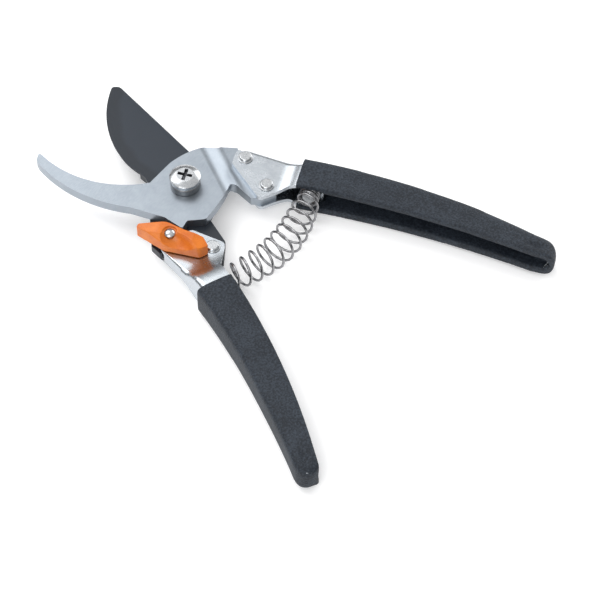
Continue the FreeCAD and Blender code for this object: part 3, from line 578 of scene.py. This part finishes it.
    @classmethod
    def soften(cls, piece: bpy.types.Object, grain: float, rounds: int) -> None:
        """Remesh a solid evenly and relax it, which rounds its edges like a moulding.

        Args:
            piece: The piece.
            grain: The size of the new faces, in metres.
            rounds: How many times the surface is relaxed.
        """
        cls.hold(piece)
        remesh = piece.modifiers.new("even", "REMESH")
        remesh.mode = "VOXEL"
        remesh.voxel_size = grain
        bpy.ops.object.modifier_apply(modifier=remesh.name)
        relax = piece.modifiers.new("relaxed", "SMOOTH")
        relax.factor = cls.RELAXING
        relax.iterations = rounds
        bpy.ops.object.modifier_apply(modifier=relax.name)
        bpy.ops.object.shade_smooth()

    @classmethod
    def relax_part(cls, piece: bpy.types.Object, test: CornerTest, rounds: int) -> None:
        """Relax only the corners that pass a test.

        Args:
            piece: The piece.
            test: Says whether a corner is relaxed.
            rounds: How many times they are relaxed.
        """
        cls.hold(piece)
        group = piece.vertex_groups.new(name="relaxed")
        group.add([corner.index for corner in piece.data.vertices if test(corner)], 1.0, "REPLACE")
        relax = piece.modifiers.new("relaxed", "SMOOTH")
        relax.factor = cls.RELAXING
        relax.iterations = rounds
        relax.vertex_group = group.name
        bpy.ops.object.modifier_apply(modifier=relax.name)
        piece.vertex_groups.clear()

    @classmethod
    def swell(cls, piece: bpy.types.Object, fullness: CornerShare, swelling: float) -> None:
        """Push the sides out level, which gives back what relaxing took.

        Args:
            piece: The piece.
            fullness: Gives a corner's share of the push, from 0 to 1.
            swelling: How far an upright side goes out, in metres.
        """
        cls.hold(piece)
        group = piece.vertex_groups.new(name="swollen")
        for corner in piece.data.vertices:
            share = (1 - corner.normal.z ** 2) * fullness(corner)
            if share > cls.LEAST_SHARE:
                group.add([corner.index], share, "REPLACE")
        push = piece.modifiers.new("swollen", "DISPLACE")
        push.strength = swelling
        push.mid_level = 0.0
        push.vertex_group = group.name
        bpy.ops.object.modifier_apply(modifier=push.name)
        piece.vertex_groups.clear()

    @classmethod
    def combine(cls, piece: bpy.types.Object, tool: bpy.types.Object, join: Join) -> None:
        """Join another solid to a piece or cut it out, and remove that solid.

        Args:
            piece: The piece that is kept.
            tool: The solid that is used up.
            join: Whether the other solid is added or cut out.
        """
        cls.hold(piece)
        boolean = piece.modifiers.new("combined", "BOOLEAN")
        boolean.operation = join.value
        boolean.object = tool
        boolean.solver = "EXACT"
        bpy.ops.object.modifier_apply(modifier=boolean.name)
        bpy.data.objects.remove(tool, do_unlink=True)

    @classmethod
    def scoop(cls, piece: bpy.types.Object, frame_of: Matrix, place: tuple[float, float, float],
              size: tuple[float, float, float], lean: float) -> None:
        """Hollow a piece with an ellipsoid.

        Args:
            piece: The piece.
            frame_of: The frame that the ellipsoid is placed in.
            place: Its middle.
            size: Its half lengths.
            lean: Its turn about Z, in degrees.
        """
        cls.clear()
        bpy.ops.mesh.primitive_uv_sphere_add(segments=64, ring_count=32, radius=1.0)
        bowl = bpy.context.object
        bowl.data.transform(frame_of @ Matrix.Translation(place) @ Matrix.Rotation(math.radians(lean), 4, "Z")
                            @ Matrix.Diagonal((*size, 1.0)))
        cls.combine(piece, bowl, Join.DIFFERENCE)

    @classmethod
    def trim(cls, piece: bpy.types.Object, point: Vector, normal: Vector) -> None:
        """Cut a piece off at a plane, keep what lies behind the plane's normal, and close the cut."""
        cls.hold(piece)
        bpy.ops.object.mode_set(mode="EDIT")
        bpy.ops.mesh.select_all(action="SELECT")
        bpy.ops.mesh.bisect(plane_co=point, plane_no=normal, use_fill=True, clear_outer=True)
        bpy.ops.object.mode_set(mode="OBJECT")


@dataclass(frozen=True)
class Bend:
    """A bend line across a plate: the way it is measured along, its reach, and its change of slope."""

    way: Vector
    reach: float
    slope: float
    width: float
    middle: float | None = None
    floor: float = 0.0

    def shift(self, place: Vector) -> float:
        """Give how far a point rises when the bend is rounded.

        Args:
            place: The point. One below the floor stays, and one below the middle level moves the other way.

        Returns:
            The rise, in metres, which is negative for a drop.
        """
        if place.z < self.floor:
            return 0.0
        off = abs(place.dot(self.way) - self.reach)
        rise = self.slope / (4 * self.width) * max(self.width - off, 0.0) ** 2
        mirrored = self.middle is not None and place.z < self.middle
        return -rise if mirrored else rise


def is_sharp(edge: bmesh.types.BMEdge, angle: float) -> bool:
    """Say whether an edge turns by more than an angle in degrees."""
    return edge.calc_face_angle(0.0) > math.radians(angle)


def tallness(face: bmesh.types.BMFace) -> float:
    """Give how far a face reaches up Z."""
    heights = [corner.co.z for corner in face.verts]
    return max(heights) - min(heights)


# ---- sub-assemblies ---------------------------------------------------------------------------------


@dataclass
class Piece:
    """What every finished piece needs: its CAD node, its body, its record slot and its finish."""

    node: str
    body: str
    slot: str
    finish: bpy.types.Material

    def title(self) -> str:
        """Give the finished piece's name."""
        return f"{self.node}_dressed"

    def dress(self, piece: bpy.types.Object) -> None:
        """Give a new piece its finish and let it stand for its CAD node."""
        piece.data.materials.clear()
        piece.data.materials.append(self.finish)
        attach(piece, self.body)
        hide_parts(self.node)
        LOG.info("%s: %d faces", piece.name, len(piece.data.polygons))


@dataclass
class HookPlate(Piece):
    """The hooked counter blade with its stepped tang."""

    bend_turn: float = 37.7
    upper_bend: float = -14.3 * MM
    lower_bend: float = -17.8 * MM
    step: float = 3.65 * MM
    bend_width: float = 3.1 * MM
    under_top: float = 9.3 * MM
    edge: float = 0.34 * MM

    def build(self) -> None:
        """Round the two bends of the step and ease the stamped edges."""
        piece = Bench.copy(self.node, self.title())
        turn = Matrix.Rotation(math.radians(self.bend_turn), 4, "Z")
        way = (Half.HOOK.opened() @ turn).to_3x3() @ Vector((1.0, 0.0, 0.0))
        slope = self.step / (self.upper_bend - self.lower_bend)
        Bench.round_bend(piece, Bend(way, self.upper_bend, -slope, self.bend_width, floor=self.under_top))
        Bench.round_bend(piece, Bend(way, self.lower_bend, slope, self.bend_width, floor=self.under_top))
        Bench.break_edges(piece, self.edge)
        Bench.smooth(piece)
        self.dress(piece)


@dataclass
class CuttingBlade(Piece):
    """The cutting blade, ground from below."""

    edge: float = 0.12 * MM
    tip_radius: float = 0.9 * MM
    tip_reach: float = 3.5 * MM
    tip_angle: float = 25.0
    edge_angle: float = 40.0
    plumb: float = 0.05 * MM

    def build(self) -> None:
        """Round the tip and ease the blade's edges a little."""
        piece = Bench.copy(self.node, self.title())
        reach = max(corner.co.length for corner in piece.data.vertices)

        def is_tip(edge: bmesh.types.BMEdge) -> bool:
            """Say whether an edge is one of the upright corners of the tip."""
            start, end = edge.verts
            upright = (start.co - end.co).to_2d().length < self.plumb
            return upright and start.co.length > reach - self.tip_reach and is_sharp(edge, self.tip_angle)

        LOG.info("%d tip edges", Bench.ease(piece, is_tip, self.tip_radius, 4))
        Bench.break_edges(piece, self.edge, 2, self.edge_angle)
        Bench.smooth(piece)
        self.dress(piece)


@dataclass(frozen=True)
class Tail:
    """How a grip ends: its open end is hollowed like a spoon and its top dips beside the rim."""

    bowl_place: tuple[float, float, float]
    dip_place: tuple[float, float, float]
    lean: float
    bowl_size: tuple[float, float, float] = (8.2 * MM, 3.7 * MM, 2.8 * MM)
    dip_size: tuple[float, float, float] = (6.0 * MM, 1.9 * MM, 2.2 * MM)

    def hollow(self, piece: bpy.types.Object, turn: Matrix) -> None:
        """Cut both hollows.

        Args:
            piece: The grip.
            turn: The turn from the closed half to the open one.
        """
        for place, size in ((self.bowl_place, self.bowl_size), (self.dip_place, self.dip_size)):
            Bench.scoop(piece, turn, place, size, self.lean)


HOOK_TAIL = Tail((-131.0 * MM, -1.0 * MM, 7.5 * MM), (-134.0 * MM, -5.0 * MM, 15.0 * MM), 0.0)
BLADE_TAIL = Tail((-125.5 * MM, 17.0 * MM, 7.5 * MM), (-129.5 * MM, 21.2 * MM, 15.0 * MM), -8.0)


@dataclass
class Channel(Piece):
    """A pressed channel handle."""

    half: Half = Half.HOOK
    bend_radius: float = 2.2 * MM
    edge: float = 0.24 * MM
    web_height: float = 4.5 * MM
    flare_start: float = -35.7 * MM
    flare_end: float = -41.5 * MM
    flare_rise: float = 3.5 * MM
    flare_width: float = 3.2 * MM
    upright_tilt: float = 0.4
    lying_tilt: float = 0.6
    bend_angle: float = 50.0
    middle: float = 7.5 * MM

    def build(self) -> None:
        """Round the long bends and the flare, and ease the sheared edges."""
        piece = Bench.copy(self.node, self.title())

        def is_bend(edge: bmesh.types.BMEdge) -> bool:
            """Say whether an edge is the outside of a long bend."""
            faces = edge.link_faces
            upright = any(abs(face.normal.z) < self.upright_tilt and tallness(face) > self.web_height
                          for face in faces)
            lying = any(abs(face.normal.z) > self.lying_tilt for face in faces)
            return upright and lying and edge.is_convex and is_sharp(edge, self.bend_angle)

        LOG.info("%d bend edges", Bench.ease(piece, is_bend, self.bend_radius, 5))
        way = self.half.ahead()
        slope = self.flare_rise / (self.flare_start - self.flare_end)
        Bench.round_bend(piece, Bend(way, self.flare_start, slope, self.flare_width, self.middle))
        Bench.round_bend(piece, Bend(way, self.flare_end, -slope, self.flare_width, self.middle))
        Bench.break_edges(piece, self.edge)
        Bench.smooth(piece)
        self.dress(piece)


@dataclass
class Grip(Piece):
    """A dipped grip: the coat and the steel inside it as one soft channel."""

    half: Half = Half.HOOK
    steel: str = "hook_handle"
    start: float = -40.3 * MM
    grain: float = 0.4 * MM
    rounds: int = 6
    outer_rounds: int = 200
    tail: Tail = HOOK_TAIL
    swelling: float = 0.8 * MM
    fade: float = 25.0 * MM
    spare: float = 8.0 * MM
    middle: float = 7.5 * MM
    inner_tilt: float = 0.3
    rim_gap: float = 0.4 * MM
    rim_depth: float = 1.0 * MM
    rim_facing: float = 0.9
    rim_angle: float = 50.0

    def build(self) -> None:
        """Fill the coat with its steel, round its outer bends, hollow its tail, then soften it."""
        piece = Bench.copy(self.node, self.title())
        core = Bench.copy(self.steel, "core")
        turn = self.half.opened()
        forward = self.half.ahead()
        outward = self.half.outward()
        front = turn @ Vector((self.start, 0.0, 0.0))
        Bench.trim(core, front - forward * self.rim_gap, forward)
        Bench.combine(piece, core, Join.UNION)
        self.lengthen(piece, front, forward)
        Bench.soften(piece, self.grain, self.rounds)

        def is_outer(corner: bpy.types.MeshVertex) -> bool:
            """Say whether a corner lies on the outside of the channel."""
            normal = corner.normal
            inner_roof = normal.z < -self.inner_tilt and corner.co.z > self.middle
            inner_floor = normal.z > self.inner_tilt and corner.co.z < self.middle
            return normal.dot(outward) > -self.inner_tilt and not inner_roof and not inner_floor

        Bench.relax_part(piece, is_outer, self.outer_rounds)
        self.tail.hollow(piece, turn)
        closed = turn.inverted()

        def fullness(corner: bpy.types.MeshVertex) -> float:
            """Give a corner's share of the swelling, which fades out towards the tail."""
            along = (closed @ corner.co).x - self.tail.bowl_place[0]
            return min(max(along / self.fade, 0.0), 1.0) if is_outer(corner) else 0.0

        Bench.swell(piece, fullness, self.swelling)
        Bench.soften(piece, self.grain, self.rounds)
        Bench.trim(piece, front, forward)
        Bench.hold(piece)
        bpy.ops.object.shade_smooth_by_angle(angle=math.radians(self.rim_angle))
        self.dress(piece)

    def lengthen(self, piece: bpy.types.Object, front: Vector, forward: Vector) -> None:
        """Draw the front rim out, so that the rounding runs on past it and can be cut off square.

        Args:
            piece: The grip.
            front: A point on the front rim's plane.
            forward: The way the rim faces.
        """
        Bench.hold(piece)
        bpy.ops.object.mode_set(mode="EDIT")
        bpy.ops.mesh.select_mode(type="FACE")
        bpy.ops.mesh.select_all(action="DESELECT")
        work = bmesh.from_edit_mesh(piece.data)
        work.normal_update()
        for face in work.faces:
            depth = abs((face.calc_center_median() - front).dot(forward))
            face.select_set(face.normal.dot(forward) > self.rim_facing and depth < self.rim_depth)
        bmesh.update_edit_mesh(piece.data)
        bpy.ops.mesh.extrude_region_move(TRANSFORM_OT_translate={"value": tuple(forward * self.spare)})
        bpy.ops.object.mode_set(mode="OBJECT")


@dataclass
class Fastener(Piece):
    """A rivet, washer, nut, bolt or stud."""

    edge: float = 0.15 * MM

    def build(self) -> None:
        """Ease the edges."""
        piece = Bench.copy(self.node, self.title())
        Bench.break_edges(piece, self.edge, 3)
        Bench.smooth(piece)
        self.dress(piece)


@dataclass
class Latch(Piece):
    """The moulded thumb latch, with a scoop beside its thumb ridge."""

    turn: float = 20.0
    grain: float = 0.17 * MM
    rounds: int = 5
    scoop_place: tuple[float, float] = (-5.4 * MM, 5.7 * MM)
    scoop_rise: float = 1.9 * MM
    scoop_size: tuple[float, float, float] = (10.0 * MM, 5.7 * MM, 5.8 * MM)
    scoop_lean: float = -25.7
    chamfer_place: tuple[float, float] = (-1.5 * MM, 2.1 * MM)
    chamfer_size: tuple[float, float, float] = (40.0 * MM, 16.0 * MM, 8.0 * MM)
    chamfer_turn: float = -4.0
    chamfer_lean: float = -38.0

    def build(self) -> None:
        """Chamfer the near side, scoop the thumb end and soften the moulding."""
        piece = Bench.copy(self.node, self.title())
        pin = next(Vector(joint["pos_m"]) for joint in frame["joints"] if joint["name"] == "latch_turn")
        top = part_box(self.node)[1].z
        place = Matrix.Translation((pin.x, pin.y, 0.0)) @ Matrix.Rotation(math.radians(self.turn), 4, "Z")
        self.cut_chamfer(piece, place, top)
        self.cut_scoop(piece, place, top)
        Bench.soften(piece, self.grain, self.rounds)
        self.dress(piece)

    def cut_chamfer(self, piece: bpy.types.Object, place: Matrix, top: float) -> None:
        """Slope the side that faces away from the plate.

        Args:
            piece: The lever.
            place: The lever's own frame, with X towards its nose and Z up.
            top: The lever's highest level.
        """
        Bench.clear()
        bpy.ops.mesh.primitive_cube_add(size=1.0)
        block = bpy.context.object
        shape = (place @ Matrix.Translation((*self.chamfer_place, top))
                 @ Matrix.Rotation(math.radians(self.chamfer_turn), 4, "Z")
                 @ Matrix.Rotation(math.radians(self.chamfer_lean), 4, "X")
                 @ Matrix.Diagonal((*self.chamfer_size, 1.0)) @ Matrix.Translation((0.0, 0.5, 0.5)))
        block.data.transform(shape)
        Bench.combine(piece, block, Join.DIFFERENCE)

    def cut_scoop(self, piece: bpy.types.Object, place: Matrix, top: float) -> None:
        """Hollow the thumb end on the near side, which leaves a ridge on the far side.

        Args:
            piece: The lever.
            place: The lever's own frame, with X towards its nose and Z up.
            top: The lever's highest level.
        """
        middle = (*self.scoop_place, top + self.scoop_rise)
        Bench.scoop(piece, place, middle, self.scoop_size, self.scoop_lean)


@dataclass
class PivotBolt(Fastener):
    """The pivot bolt, with a driver's cross in its dome."""

    cross_turn: float = 18.0
    cross_span: float = 6.0 * MM
    cross_width: float = 1.35 * MM
    cross_depth: float = 1.4 * MM
    foot_share: float = 0.55

    def build(self) -> None:
        """Cut the cross and ease the edges."""
        piece = Bench.copy(self.node, self.title())
        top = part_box(self.node)[1].z
        for quarter in range(2):
            Bench.clear()
            bpy.ops.mesh.primitive_cube_add(size=1.0)
            arm = bpy.context.object
            shape = (Matrix.Rotation(math.radians(self.cross_turn + 90.0 * quarter), 4, "Z")
                     @ Matrix.Translation((0.0, 0.0, top))
                     @ Matrix.Diagonal((self.cross_span, self.cross_width, 2 * self.cross_depth, 1.0)))
            arm.data.transform(shape)
            self.narrow_foot(arm, top)
            Bench.combine(piece, arm, Join.DIFFERENCE)
        Bench.break_edges(piece, self.edge, 3)
        Bench.smooth(piece)
        self.dress(piece)

    def narrow_foot(self, arm: bpy.types.Object, top: float) -> None:
        """Draw in the lower end of one arm of the cross.

        Args:
            arm: The arm.
            top: The level of its middle, in metres.
        """
        Bench.hold(arm)
        bpy.ops.object.mode_set(mode="EDIT")
        bpy.ops.mesh.select_mode(type="VERT")
        work = bmesh.from_edit_mesh(arm.data)
        for corner in work.verts:
            corner.select_set(corner.co.z < top)
        bmesh.update_edit_mesh(arm.data)
        narrower = (self.foot_share, self.foot_share, 1.0)
        bpy.ops.transform.resize(value=narrower, center_override=(0.0, 0.0, top))
        bpy.ops.object.mode_set(mode="OBJECT")


@dataclass
class ReturnSpring:
    """The coil spring between the handles, wound along an arched axis."""

    finish: bpy.types.Material
    wire: float = 1.0 * MM
    end_radius: float = 3.75 * MM
    middle_radius: float = 5.9 * MM
    turns: float = 17.0
    dead_turns: float = 3.0
    close_pitch: float = 1.1 * MM
    pull: float = 0.44
    level: float = 7.5 * MM
    hook_seat: tuple[float, float] = (-45.1 * MM, -13.2 * MM)
    blade_seat: tuple[float, float] = (-43.5 * MM, 9.5 * MM)
    seat_gap: float = 0.05 * MM
    points_per_turn: int = 18
    axis_steps: int = 400

    def axis(self) -> list[Vector]:
        """Give the control points of the spring's arched axis, from seat to seat."""
        hook, blade = Half.HOOK.opened(), Half.BLADE.opened()
        ways = [turn.to_3x3() @ Vector((0.0, 1.0, 0.0)) for turn in (hook, blade)]
        lift = self.wire / 2 + self.seat_gap
        start = hook @ Vector((*self.hook_seat, self.level)) + ways[0] * lift
        end = blade @ Vector((*self.blade_seat, self.level)) - ways[1] * lift
        reach = (end - start).length * self.pull
        return [start, start + ways[0] * reach, end - ways[1] * reach, end]

    def path(self) -> list[Vector]:
        """Give the points of the wire's middle."""
        poles = self.axis()
        runs = self.runs(poles)
        dead_length = self.dead_turns * self.close_pitch
        dead_share = self.dead_turns / self.turns
        count = int(self.turns * self.points_per_turn)
        points = []
        for index in range(count + 1):
            share = index / count
            open_share = min(max((share - dead_share) / (1 - 2 * dead_share), 0.0), 1.0)
            closed_share = min(share, dead_share) + max(share - 1 + dead_share, 0.0)
            along = closed_share / dead_share * dead_length + open_share * (runs[-1] - 2 * dead_length)
            centre, way = self.on_axis(poles, self.share_at(runs, along))
            bulge = math.sin(math.pi * open_share) ** 0.5
            radius = self.end_radius + (self.middle_radius - self.end_radius) * bulge
            angle = 2 * math.pi * share * self.turns
            out = way.cross(Vector((0.0, 0.0, 1.0)))
            points.append(centre + out * radius * math.cos(angle) + Vector((0, 0, radius * math.sin(angle))))
        return points

    def runs(self, poles: list[Vector]) -> list[float]:
        """Measure along the axis.

        Args:
            poles: The axis's control points.

        Returns:
            The distance from the start at each of its steps.
        """
        line = [self.on_axis(poles, index / self.axis_steps)[0] for index in range(self.axis_steps + 1)]
        runs = [0.0]
        for before, after in zip(line, line[1:]):
            runs.append(runs[-1] + (after - before).length)
        return runs

    def share_at(self, runs: list[float], along: float) -> float:
        """Find a distance on the axis.

        Args:
            runs: The distances at the axis's steps.
            along: The distance from its start.

        Returns:
            The share of the axis there, from 0 to 1.
        """
        passed = min(sum(1 for run in runs if run < along), self.axis_steps)
        before = max(passed - 1, 0)
        span = max(runs[before + 1] - runs[before], 1e-9)
        share = (before + (along - runs[before]) / span) / self.axis_steps
        return min(max(share, 0.0), 1.0)

    @staticmethod
    def on_axis(poles: list[Vector], share: float) -> tuple[Vector, Vector]:
        """Give the place and direction at a share of a cubic axis."""
        rest = 1 - share
        place = (poles[0] * rest ** 3 + poles[1] * 3 * rest * rest * share
                 + poles[2] * 3 * rest * share * share + poles[3] * share ** 3)
        way = ((poles[1] - poles[0]) * rest * rest + (poles[2] - poles[1]) * 2 * rest * share
               + (poles[3] - poles[2]) * share * share)
        return place, way.normalized()

    def build(self) -> None:
        """Wind the wire along its arched axis between the two halves."""
        Bench.clear()
        bpy.ops.curve.primitive_nurbs_path_add(location=(0.0, 0.0, 0.0))
        piece = bpy.context.object
        piece.name = "return_spring_dressed"
        curve = piece.data
        curve.splines.clear()
        spline = curve.splines.new("POLY")
        points = self.path()
        spline.points.add(len(points) - 1)
        for point, place in zip(spline.points, points):
            point.co = (*place, 1.0)
        curve.bevel_depth = self.wire / 2
        curve.bevel_resolution = 4
        curve.use_fill_caps = True
        Bench.hold(piece)
        bpy.ops.object.convert(target="MESH")
        piece = bpy.context.object
        bpy.ops.object.shade_smooth()
        piece.data.materials.clear()
        piece.data.materials.append(self.finish)
        ends = self.axis()
        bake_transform(piece)
        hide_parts("return_spring")
        LOG.info("%s: %d faces", piece.name, len(piece.data.polygons))


# ---- studio -----------------------------------------------------------------------------------------


@dataclass(frozen=True)
class SoftLight:
    """A square soft light that shines on the tool."""

    name: str
    place: tuple[float, float, float]
    side: float
    power: float

    def build(self) -> None:
        """Hang the light."""
        data = bpy.data.lights.new(self.name, "AREA")
        data.energy = self.power
        data.size = self.side
        light = bpy.data.objects.new(self.name, data)
        light.location = self.place
        light.rotation_euler = Vector(self.place).to_track_quat("Z", "Y").to_euler()
        bpy.context.scene.collection.objects.link(light)


@dataclass
class Studio:
    """A white table under soft light, and the camera."""

    azimuth: float = -142.2
    elevation: float = 53.0
    distance: float = 0.9
    lens: float = 144.0
    table_side: float = 6.0
    table_glow: float = 0.22
    paper: Colour = (0.88, 0.88, 0.885)
    pale_paper: Colour = (0.90, 0.90, 0.905)
    lights: tuple[SoftLight, ...] = (SoftLight("key light", (0.75, -0.05, 0.95), 1.0, 8.0),
                                     SoftLight("fill light", (-0.25, 0.75, 0.7), 0.6, 4.0),
                                     SoftLight("back light", (-0.10, -1.15, 0.35), 0.8, 6.0))
    sky: tuple[tuple[float, float], ...] = ((0.0, 0.16), (0.30, 0.32), (0.66, 0.84), (1.0, 1.0))
    sky_strength: float = 0.92
    sensor: float = 36.0
    pivot_across: float = -0.04771
    pivot_up: float = 0.04804

    def build(self) -> None:
        """Set the table, the lights and the camera."""
        self.add_table()
        for light in self.lights:
            light.build()
        self.add_sky()
        self.add_camera()

    def add_table(self) -> None:
        """Add the table that the tool lies on."""
        Bench.clear()
        bpy.ops.mesh.primitive_plane_add(size=self.table_side, location=(0.0, 0.0, 0.0))
        table = bpy.context.object
        table.name = "table"
        graph = Graph("white table")
        grain = graph.noise(2.0 * MM, 2.0)
        graph.set(Base_Color=graph.mix(grain, self.paper, self.pale_paper), Roughness=0.7)
        graph.set(Specular_IOR_Level=0.1, Emission_Color=(1.0, 1.0, 1.0), Emission_Strength=self.table_glow)
        table.data.materials.append(graph.material)

    def add_sky(self) -> None:
        """Light everything from above, and less from near the horizon."""
        graph = SkyGraph("bright room")
        height = graph.node("SeparateXYZ", {}, {0: graph.node("TexCoord", {}, {}, "Generated")}, "Z")
        graph.set(Color=graph.ramp(height, *self.sky), Strength=self.sky_strength)
        bpy.context.scene.world = graph.world

    def add_camera(self) -> None:
        """Aim a long lens so that the pivot's top falls left of and above the middle of the frame."""
        turn, tilt = math.radians(self.azimuth), math.radians(self.elevation)
        back = Vector((math.sin(turn) * math.cos(tilt), -math.cos(turn) * math.cos(tilt), math.sin(tilt)))
        right = Vector((math.cos(turn), math.sin(turn), 0.0))
        up = back.cross(right)
        pivot = Vector((0.0, 0.0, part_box("hook_blade")[1].z))
        ray = -back + right * self.pivot_across + up * self.pivot_up
        data = bpy.data.cameras.new("camera")
        data.lens = self.lens
        data.sensor_width = self.sensor
        data.clip_start = 0.01
        data.clip_end = 10.0
        camera = bpy.data.objects.new("camera", data)
        bpy.context.scene.collection.objects.link(camera)
        pose = Matrix((right, up, back)).transposed().to_4x4()
        pose.translation = pivot - ray * self.distance
        camera.matrix_world = pose
        bpy.context.scene.camera = camera


def main() -> None:
    """Build every piece in order."""
    logging.basicConfig(level=logging.INFO, format="%(message)s")
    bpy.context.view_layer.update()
    bpy.context.scene.view_settings.view_transform = "Standard"
    plate = BrushedPlate().build()
    nickel = NickelSheet().build()
    vinyl = DippedVinyl().build()
    bright = BrightHardware().build()
    # The spacer washer's steel is darkened as painted shade, for the dark ring between the parts of the
    # pivot.
    shade_darkened_washer = BrightHardware(name="washer steel darkened as painted shade", colour=(0.16, 0.165, 0.17), pale=(0.30, 0.305, 0.31),
                           roughness=0.34).build()
    # The bolt's cross recess is darkened as painted shade.
    driven = BrightHardware(name="bright bolt with a dark recess", recess_radius=3.35 * MM,
                            recess_level=18.55 * MM).build()
    wire = BrightHardware(name="drawn spring wire", colour=(0.20, 0.20, 0.21), pale=(0.42, 0.42, 0.43),
                          roughness=0.26).build()
    coated = CoatedBlade().build()
    orange = MouldedLatch().build()
    HookPlate("hook_blade", "hook_side", "hook_steel", plate).build()
    CuttingBlade("cutting_blade", "blade_side", "coated_blade", coated).build()
    Channel("hook_handle", "hook_side", "handle_steel", nickel).build()
    Channel("blade_handle", "blade_side", "handle_steel", nickel, half=Half.BLADE).build()
    Grip("hook_grip", "hook_side", "vinyl", vinyl).build()
    Grip("blade_grip", "blade_side", "vinyl", vinyl, half=Half.BLADE, steel="blade_handle", start=-46.6 * MM,
         tail=BLADE_TAIL).build()
    for node in ("hook_rivets", "hook_spring_stud"):
        Fastener(node, "hook_side", "rivet_steel", bright).build()
    PivotBolt("pivot_bolt", "hook_side", "bolt_steel", driven).build()
    for node in ("pivot_lock_washer", "pivot_bush", "pivot_lower_washer", "pivot_nut"):
        Fastener(node, "hook_side", "bolt_steel", bright).build()
    # Darker steel here is painted shade between the parts of the pivot.
    Fastener("pivot_spacer_washer", "hook_side", "bolt_steel", shade_darkened_washer, edge=0.35 * MM).build()
    for node in ("blade_rivet", "latch_pin", "latch_washer", "blade_spring_stud"):
        Fastener(node, "blade_side", "rivet_steel", bright).build()
    Fastener("hook_spring_bracket", "hook_side", "handle_steel", nickel).build()
    Fastener("blade_spring_bracket", "blade_side", "handle_steel", nickel).build()
    Latch("latch_lever", "latch", "latch_plastic", orange).build()
    ReturnSpring(wire).build()
    Studio().build()


if __name__ == "__main__":
    main()
